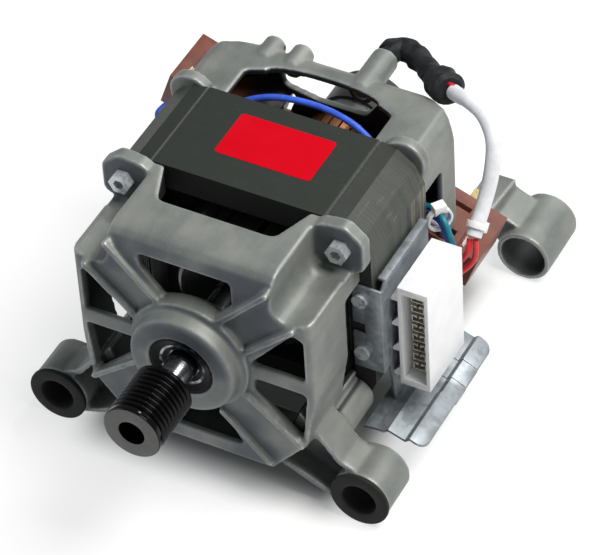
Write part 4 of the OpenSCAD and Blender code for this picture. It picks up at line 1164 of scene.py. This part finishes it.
@dataclass
class Castings:
    """Front and rear shields with the soft edges of a casting."""

    voxel: float = 0.75
    passes: int = 7
    softness: float = 0.5
    most_faces: int = 95_000

    def build(self) -> None:
        """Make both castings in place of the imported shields."""
        for node, name in (("front_shield", "front_casting"), ("rear_shield", "rear_casting")):
            piece(name, self.cast(node), CAST, stands_for=(node,))

    def cast(self, node: str) -> bpy.types.Mesh:
        """Skin of a shield with fillets.

        Args:
            node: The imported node.

        Returns:
            Its softened mesh.
        """
        obj = linked("casting", merged(node))
        skin = obj.modifiers.new("skin", "REMESH")
        skin.mode = "VOXEL"
        skin.voxel_size = self.voxel * MM
        skin.use_smooth_shade = True
        soften = obj.modifiers.new("soften", "SMOOTH")
        soften.factor = self.softness
        soften.iterations = self.passes
        mesh = evaluated(obj)
        if len(mesh.polygons) > self.most_faces:
            obj = linked("thinning", mesh)
            thin = obj.modifiers.new("thin", "DECIMATE")
            thin.ratio = self.most_faces / len(mesh.polygons)
            mesh = evaluated(obj)
        mesh.shade_smooth()
        return mesh


@dataclass
class Stack:
    """Lamination stack with the blank label on top."""

    label_low: tuple[float, float] = (-17.6, 88.0)
    label_high: tuple[float, float] = (22.4, 111.0)
    label_z: float = 47.0
    label_gap: float = 0.01
    label_t: float = 0.14
    label_corner: float = 1.6
    corner_step: int = 15

    def build(self) -> None:
        """Dress the stack and lay the label on it."""
        dress(LACQUER, "stator_core", "rotor_core")
        piece("stack_label", self.label(), LABEL)

    def label(self) -> bpy.types.Mesh:
        """Thin film with rounded corners."""
        (x0, y0), (x1, y1), r = self.label_low, self.label_high, self.label_corner
        corners = ((x1 - r, y1 - r, 0), (x0 + r, y1 - r, 90), (x0 + r, y0 + r, 180), (x1 - r, y0 + r, 270))
        rim = [
            (cx + r * math.cos(math.radians(a + s)), cy + r * math.sin(math.radians(a + s)))
            for cx, cy, a in corners
            for s in range(0, 91, self.corner_step)
        ]
        low, high = ([(x, y, self.label_z + z) for x, y in rim] for z in (self.label_gap, self.label_t))
        return prism("stack_label", low, high)


@dataclass
class FieldCoils:
    """Field coils with their outer turns laid side by side."""

    wire_r: float = 0.42
    wire_sides: int = 8
    turns: int = 12
    x0: float = 34.95
    x1: float = 44.25
    half_y: float = 32.1
    half_z: float = 26.6
    corner: float = 10.3
    middle_y: float = 96.5
    steps: int = 6

    def build(self, tube: bpy.types.NodeTree) -> None:
        """Wind both coils and dress what carries them."""
        dress(WIRE, "field_coil_left", "field_coil_right")
        dress(BLACK, "coil_former_left", "coil_former_right")
        for side in Side:
            base = path_mesh("turns", [self.route(side)])
            mesh = grown(tube, base, WIRE, Radius=self.wire_r * MM, Sides=self.wire_sides)
            node = f"field_turns_{side.word}"
            piece(f"wound_{node}", mesh, WIRE, stands_for=(node,))

    def route(self, side: Side) -> np.ndarray:
        """Racetrack round a pole that steps across once a turn."""
        around = []
        for quarter in range(4):
            sy = 1 if quarter in (0, 3) else -1
            sz = 1 if quarter < 2 else -1
            for k in range(self.steps):
                a = math.radians(90 * quarter + 90 * k / (self.steps - 1))
                y = sy * (self.half_y - self.corner) + self.corner * math.cos(a)
                z = sz * (self.half_z - self.corner) + self.corner * math.sin(a)
                around.append((y, z))
        count = len(around) * self.turns
        points = []
        for i in range(count + 1):
            y, z = around[i % len(around)]
            x = self.x0 + (self.x1 - self.x0) * i / count
            points.append((side.value * x, self.middle_y + y, z))
        return np.array(points)


@dataclass
class Armature:
    """Rotor winding ends, commutator and what sits on the shaft."""

    slots: int = 12
    bars: int = 24
    stack_y0: float = 74.0
    stack_y1: float = 119.0
    # End bundles, from slot to slot over the face of the core
    bundle_r: float = 2.3
    bundle_sides: int = 10
    bundle_points: int = 15
    slot_r: float = 21.2
    dip: float = 6.5
    span: float = 150.0
    lean: float = 0.35
    clear: float = 0.4
    rise: float = 7.6
    swell: float = 0.6
    # Commutator hooks, as a side view outwards and along the shaft
    bar_y: float = 137.0
    bar_r: float = 17.0
    hook_sink: float = 0.6
    hook_half: float = 0.8
    hook_side: Sequence[tuple[float, float]] = (
        (0.0, -2.2), (1.2, -2.2), (2.0, -0.4), (1.9, 1.6), (1.1, 1.8), (1.0, -0.2), (0.0, -0.6),
    )
    rib_edge: float = 0.14

    def build(self, tube: bpy.types.NodeTree, ring: bpy.types.NodeTree) -> None:
        """Lay the end bundles and hooks, and dress the rest."""
        dress(WIRE, "armature_winding")
        dress(COPPER_BARS, "commutator_bars")
        dress(HUB, "commutator_hub")
        dress(SHAFT, "shaft")
        rounded = eased("pulley", self.rib_edge)
        piece("rounded_pulley", rounded, PULLEY, Body.ROTOR, stands_for=("pulley",))
        dress(FERRITE, "tacho_magnet")
        for end, y, way in (("front", self.stack_y0, -1), ("rear", self.stack_y1, 1)):
            base = path_mesh("bundle", [self.bundle(y, way)])
            one = grown(tube, base, WIRE, Radius=self.bundle_r * MM, Sides=self.bundle_sides)
            mesh = grown(ring, one, WIRE, Count=self.slots, First=0.5)
            mesh.shade_smooth()
            piece(f"armature_bundles_{end}", mesh, WIRE, Body.ROTOR)
        mesh = grown(ring, self.hook(), COPPER_BARS, Count=self.bars, First=0.0)
        piece("commutator_hooks", mesh, COPPER_BARS, Body.ROTOR)

    def bundle(self, y: float, way: int) -> np.ndarray:
        """Coil end from one slot over to another.

        Args:
            y: Face of the rotor core.
            way: Direction away from the core along Y.

        Returns:
            Points of its middle line.
        """
        points = []
        for t in np.linspace(0.0, 1.0, self.bundle_points):
            arch = math.sin(math.pi * t)
            r = self.slot_r - self.dip * arch
            a = math.radians(self.span * (t - 0.5)) + self.lean * arch
            out = y + way * (self.clear + self.rise * arch**self.swell)
            points.append((r * math.cos(a), out, -r * math.sin(a)))
        return np.array(points)

    def hook(self) -> bpy.types.Mesh:
        """Riser hook of one commutator bar, bent back over its wire."""
        profile = [(self.bar_r - self.hook_sink + r, self.bar_y + y) for r, y in self.hook_side]
        low, high = ([(r, y, w) for r, y in profile] for w in (-self.hook_half, self.hook_half))
        return prism("hook", low, high)


class Bearings:
    """Ball bearings of the shaft, with the front one's seal."""

    def build(self) -> None:
        """Dress the rings, the balls and the seal."""
        for end in ("front", "rear"):
            dress(STEEL, *(f"{end}_bearing_{part}" for part in ("outer_ring", "inner_ring", "balls")))
        dress(STEEL, "preload_washer")
        dress(SEAL, "front_seal")


@dataclass
class Fixings:
    """Long stator screws and the rubber bushes of the front lugs."""

    bush_edge: float = 0.5

    def build(self) -> None:
        """Dress the screws and round the bushes' rims."""
        dress(ZINC, "stator_screws")
        for side in Side:
            node = f"lug_bush_{side.word}"
            piece(f"rounded_{node}", eased(node, self.bush_edge), RUBBER, stands_for=(node,))


@dataclass
class BrushGear:
    """Brush holders, guides, brushes and springs on the tilted brush line."""

    tilt: float = 20.0
    centre_y: float = 146.0
    spring_from: float = 47.37
    spring_to: float = 64.63
    spring_r: float = 2.0
    wire_r: float = 0.35
    wire_sides: int = 8
    curls: int = 6
    curl_steps: int = 16
    travel: float = 8.0
    holder_edge: float = 0.7
    holder_steps: int = 3

    def build(self, tube: bpy.types.NodeTree) -> None:
        """Round the holders, wind the springs and dress the rest."""
        for side in Side:
            word = side.word
            dress(BRASS, f"brush_guide_{word}", f"brush_terminal_{word}")
            dress(CARBON, f"carbon_brush_{word}")
            node = f"brush_holder_{word}"
            shape = eased(node, self.holder_edge, self.holder_steps)
            piece(f"moulded_{node}", shape, PHENOLIC, stands_for=(node,))
            self.spring(side, tube)

    def spot(self, side: Side, x: float, y: float, z: float) -> Point:
        """Point on the brush line, in the motor's frame."""
        c, s = math.cos(math.radians(self.tilt)), math.sin(math.radians(self.tilt))
        out = side.value * x
        return (out * c + z * s, self.centre_y + y, z * c - out * s)

    def spring(self, side: Side, tube: bpy.types.NodeTree) -> None:
        """Wind a brush spring."""
        turns = np.linspace(0.0, self.curls, self.curls * self.curl_steps + 1)
        length = self.spring_to - self.spring_from
        line = [
            self.spot(
                side,
                self.spring_from + length * t / self.curls,
                self.spring_r * math.cos(math.tau * t),
                self.spring_r * math.sin(math.tau * t),
            )
            for t in turns
        ]
        base = path_mesh("curls", [np.array(line)])
        mesh = grown(tube, base, SPRING, Radius=self.wire_r * MM, Sides=self.wire_sides)
        node = f"brush_spring_{side.word}"
        made = piece(f"wound_{node}", mesh, SPRING, stands_for=(node,))
        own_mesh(made)


class Tacho:
    """Tacho coil and cover at the rear end of the shaft."""

    def build(self) -> None:
        """Dress the coil and the cover."""
        dress(WIRE, "tacho_coil")
        dress(BLACK, "tacho_cover")


@dataclass
class Connector:
    """Galvanised bracket with the white connector and its contacts."""

    count: int = 8
    pitch: float = 5.0
    middle_x: float = 67.6
    back_y: float = 91.38
    first_z: float = -26.0
    sheet_edge: float = 0.35
    housing_edge: float = 0.6
    housing_steps: int = 3
    # Section of a contact, with its lips rolled in
    half_x: float = 2.6
    half_z: float = 1.7
    wall: float = 0.45
    length: float = 8.0
    lip_x: float = 0.5
    tip_x: float = 0.3
    roll_x: float = 0.7
    roll_z: float = 0.5

    def build(self, row: bpy.types.NodeTree) -> None:
        """Round the bracket and housing and set the row of contacts."""
        bracket = eased("connector_bracket", self.sheet_edge)
        piece("folded_bracket", bracket, GALVANISED, stands_for=("connector_bracket",))
        dress(ZINC, "bracket_rivets")
        housing = eased("connector_housing", self.housing_edge, self.housing_steps)
        piece("moulded_housing", housing, WHITE, stands_for=("connector_housing",))
        mesh = grown(row, self.contact(), CONTACT, Count=self.count, Pitch=self.pitch * MM)
        piece("formed_contacts", mesh, CONTACT, stands_for=("connector_contacts",))

    def contact(self) -> bpy.types.Mesh:
        """Folded receptacle of the lowest way: two rolled sides and a floor."""
        inner_x, inner_z = self.half_x - self.wall, self.half_z - self.wall
        right = [
            (self.half_x, -self.half_z), (self.half_x, self.half_z), (self.lip_x, self.half_z),
            (self.tip_x, self.roll_z), (self.roll_x, self.roll_z), (inner_x, inner_z), (inner_x, -inner_z),
        ]
        section = right + [(-x, z) for x, z in reversed(right)]
        low, high = (
            [(self.middle_x + x, y, self.first_z + z) for x, z in section]
            for y in (self.back_y - self.length, self.back_y)
        )
        return prism("contact", low, high)


@dataclass
class Lead:
    """One insulated lead with its routes, in millimetres."""

    name: str
    finish: Finish
    slot: str
    radius: float
    routes: Sequence[Sequence[Point]]
    sides: int = 16

    def drawn(self, tube: bpy.types.NodeTree) -> bpy.types.Mesh:
        """The lead swept along its routes."""
        base = path_mesh(self.name, [smooth_route(route) for route in self.routes])
        return grown(tube, base, self.finish, Radius=self.radius * MM, Sides=self.sides)


@dataclass
class Harness:
    """Leads, boot and sleeve between the coils, the tacho and the connector."""

    # Contact ways at the back of the connector
    ways: int = 8
    way_x: float = 67.6
    way_y: float = 104.4
    way_z: float = -8.5
    pitch: float = 5.0
    way_in: Sequence[float] = (9.0, 4.0, 0.0)
    # Leads, sleeve and ties
    coil_x: float = 45.2
    lead_r: float = 1.3
    core_r: float = 1.1
    sleeve_r: float = 3.0
    sleeve_sides: int = 28
    tie_edge: float = 0.25
    # Boot, with its collar and the ripples and folds of its skin
    boot_r: float = 4.5
    boot_sides: int = 32
    boot_steps: int = 12
    collar: float = 0.44
    collar_l: float = 12.0
    collar_rise: float = 0.8
    collar_end: float = 1.2
    bulge: float = 0.05
    ripple: float = 0.9
    ripple_from: float = 4.0
    fold: float = 0.9
    fold_l: float = 4.0

    def into_way(self, k: int) -> list[Point]:
        """Straight stretch into contact way k at the back of the connector."""
        z = self.way_z + (k - (self.ways - 1) / 2) * self.pitch
        return [(self.way_x, self.way_y + y, z) for y in self.way_in]

    def leads(self) -> list[Lead]:
        """Every lead with its route from end to end."""
        half = [(37.0, 119.6, 28.75), (36.0, 122.0, 29.25), (30.0, 127.0, 33.95), (17.0, 131.0, 38.95)]
        field = [(-x, y, z) for x, y, z in half] + [(0.0, 133.0, 39.95)] + half[::-1]
        red = [
            [(75.2, 117.2, 13.1), (75.0, 115.5, 4.0), *self.into_way(4)],
            [(72.8, 117.2, 13.1), (73.0, 114.0, 8.0), *self.into_way(5)],
        ]
        grey = [(self.coil_x, 126.0, 5.0), (55.0, 126.0, 5.0), (64.0, 121.0, 0.0), *self.into_way(3)]
        teal = [(self.coil_x, 124.0, 15.0), (56.0, 122.0, 17.5), (62.0, 117.5, 17.5), *self.into_way(7)]
        blue = [(self.coil_x, 125.0, 10.0), (56.0, 122.0, 13.5), (62.0, 117.5, 13.5), *self.into_way(6)]
        brush = [
            (-self.coil_x, 122.0, 12.0), (-57.0, 121.0, 16.0), (-62.0, 122.0, 20.0), (-62.0, 126.5, 21.0),
            (-60.0, 129.5, 21.5), (-60.0, 132.2, 21.5),
        ]
        sleeve = [
            (48.5, 155.1, 46.2), (52.5, 152.1, 48.0), (58.0, 149.0, 50.0), (66.0, 145.0, 49.0),
            (72.0, 140.0, 43.0), (74.0, 134.0, 33.0), (74.0, 128.0, 24.0), (74.0, 118.0, 14.0),
        ]
        return [
            Lead("red_leads", RED, "red_lead", self.core_r, red),
            Lead("grey_lead", GREY, "grey_lead", self.lead_r, [grey]),
            Lead("teal_lead", TEAL, "teal_lead", self.lead_r, [teal]),
            Lead("blue_lead", BLUE, "blue_lead", self.lead_r, [blue]),
            Lead("field_lead", BLUE, "blue_lead", self.lead_r, [field]),
            Lead("brush_lead", BLUE, "blue_lead", self.lead_r, [brush]),
            Lead("tacho_sleeve", SLEEVE, "white_sleeve", self.sleeve_r, [sleeve], self.sleeve_sides),
        ]

    def build(self, tube: bpy.types.NodeTree) -> None:
        """Draw every lead, the boot and the ties."""
        for lead in self.leads():
            name = lead.name
            piece(f"drawn_{name}", lead.drawn(tube), lead.finish, stands_for=(name,))
        self.tails(tube)
        self.boot(tube)
        ties = eased("cable_ties", self.tie_edge)
        piece("moulded_ties", ties, NYLON, stands_for=("cable_ties",))

    def tails(self, tube: bpy.types.NodeTree) -> None:
        """Draw the short stretch of the red leads between the boot and the sleeve."""
        routes = [
            [(43.0, 159.6, 44.6), (46.4, 156.9, 47.3), (48.6, 155.2, 48.3), (51.8, 152.6, 48.0)],
            [(43.4, 159.0, 44.2), (47.6, 157.4, 46.3), (49.8, 155.7, 47.2), (52.4, 153.2, 48.4)],
        ]
        lead = Lead("tacho_lead_tails", RED, "red_lead", self.core_r, routes)
        piece(lead.name, lead.drawn(tube), lead.finish)

    def crumple(self, mesh: bpy.types.Mesh) -> None:
        """Push folds into a shrunk skin."""
        folds = [
            vertex.co + vertex.normal * (noise.noise(vertex.co / (self.fold_l * MM)) * self.fold * MM)
            for vertex in mesh.vertices
        ]
        for vertex, place in zip(mesh.vertices, folds):
            vertex.co = place
        mesh.update()

    def boot(self, tube: bpy.types.NodeTree) -> None:
        """Draw the boot, with a thicker collar shrunk over its end."""
        route = smooth_route([
            (12.5, 170.3, 38.0), (12.5, 172.5, 38.0), (12.5, 175.0, 38.0), (17.0, 178.0, 38.0),
            (25.0, 174.0, 38.0), (34.0, 167.0, 40.0), (42.0, 160.0, 43.0), (46.0, 157.0, 45.0),
        ], self.boot_steps)
        base = path_mesh("boot", [route])
        steps = np.linalg.norm(np.diff(route, axis=0), axis=1)
        left = steps.sum() - np.concatenate([[0.0], np.cumsum(steps)])
        swell = self.collar * np.clip((self.collar_l - left) / self.collar_rise, 0.0, 1.0)
        swell -= self.collar * np.clip((self.collar_end - left) / self.collar_end, 0.0, 1.0)
        ripples = np.maximum(0.0, np.sin(left * self.ripple))
        swell += self.bulge * ripples * np.clip(left / self.ripple_from, 0.0, 1.0)
        base.attributes.new("swell", "FLOAT", "POINT").data.foreach_set("value", swell.astype(np.float32))
        mesh = grown(tube, base, BOOT, Radius=self.boot_r * MM, Sides=self.boot_sides)
        self.crumple(mesh)
        piece("drawn_tacho_boot", mesh, BOOT, stands_for=("tacho_boot",))


@dataclass(frozen=True)
class Lamp:
    """A square soft light, with its place and side in millimetres and its power in watts."""

    name: str
    place: Point
    power: float
    size: float = 420.0
    colour: Colour = (1.0, 1.0, 1.0)


@dataclass
class Studio:
    """Pale floor, soft lights and the camera."""

    floor_z: float = -66.3
    floor_half: float = 2400.0
    place: Point = (542.2, -818.5, 1016.0)
    right: Point = (0.8861, 0.4611, -0.0474)
    up: Point = (-0.2923, 0.6351, 0.7149)
    ahead: Point = (-0.3598, 0.6196, -0.6976)
    lens: float = 233.9
    sensor: float = 36.0
    far: float = 20_000.0
    surround: Colour = (1.0, 1.0, 1.0)
    glow: float = 0.24
    aim: Point = (0.0, 90.0, 0.0)
    lamps: Sequence[Lamp] = (
        Lamp("key", (460.0, 120.0, 820.0), 10.2, colour=(1.0, 0.985, 0.96)),
        Lamp("fill", (-620.0, -220.0, 260.0), 1.0, colour=(0.76, 0.87, 1.0)),
        Lamp("rim", (260.0, 720.0, 300.0), 1.4),
        Lamp("glint", (100.0, 620.0, 770.0), 1.6, size=90.0),
    )

    def build(self) -> None:
        """Set up floor, world, lights and camera."""
        self.floor()
        self.world()
        for lamp in self.lamps:
            self.light(lamp)
        self.camera()
        bpy.context.scene.view_settings.view_transform = "Standard"

    def floor(self) -> None:
        """Plain pale sweep under the motor."""
        h = self.floor_half
        corners = [(-h, -h, self.floor_z), (h, -h, self.floor_z), (h, h, self.floor_z), (-h, h, self.floor_z)]
        mesh = solid("floor", corners, [range(4)])
        mesh.materials.append(Sweep("pale_floor").material())
        linked("floor", mesh)

    def world(self) -> None:
        """Even white surroundings."""
        world = bpy.data.worlds.new("studio")
        world.use_nodes = True
        g = Graph(world.node_tree)
        g.tree.nodes.clear()
        glow = g.node("ShaderNodeBackground", inputs={"Color": self.surround, "Strength": self.glow})
        g.node("ShaderNodeOutputWorld", inputs={"Surface": glow})
        bpy.context.scene.world = world

    def light(self, lamp: Lamp) -> None:
        """Hang a lamp and aim it at the motor."""
        data = bpy.data.lights.new(lamp.name, "AREA")
        data.size = lamp.size * MM
        data.energy = lamp.power
        data.color = lamp.colour
        obj = bpy.data.objects.new(lamp.name, data)
        obj.location = Vector(lamp.place) * MM
        obj.rotation_euler = (Vector(self.aim) - Vector(lamp.place)).to_track_quat("-Z", "Y").to_euler()
        bpy.context.scene.collection.objects.link(obj)

    def camera(self) -> None:
        """Camera at the photograph's angle."""
        data = bpy.data.cameras.new("camera")
        data.lens = self.lens
        data.sensor_fit = "HORIZONTAL"
        data.sensor_width = self.sensor
        data.clip_end = self.far * MM
        obj = bpy.data.objects.new("camera", data)
        back = [-c for c in self.ahead]
        turn = Matrix((self.right, self.up, back)).transposed().to_4x4()
        obj.matrix_world = Matrix.Translation(Vector(self.place) * MM) @ turn
        bpy.context.scene.collection.objects.link(obj)
        bpy.context.scene.camera = obj


def main() -> None:
    """Build the motor, piece by piece."""
    logging.basicConfig(level=logging.INFO, format="%(name)s: %(message)s")
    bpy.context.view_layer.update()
    tube, ring, row = tube_tree(), ring_tree(), row_tree()
    Studio().build()
    Castings().build()
    Stack().build()
    FieldCoils().build(tube)
    Armature().build(tube, ring)
    Bearings().build()
    Fixings().build()
    BrushGear().build(tube)
    Tacho().build()
    Connector().build(row)
    Harness().build(tube)


if __name__ == "__main__":
    main()
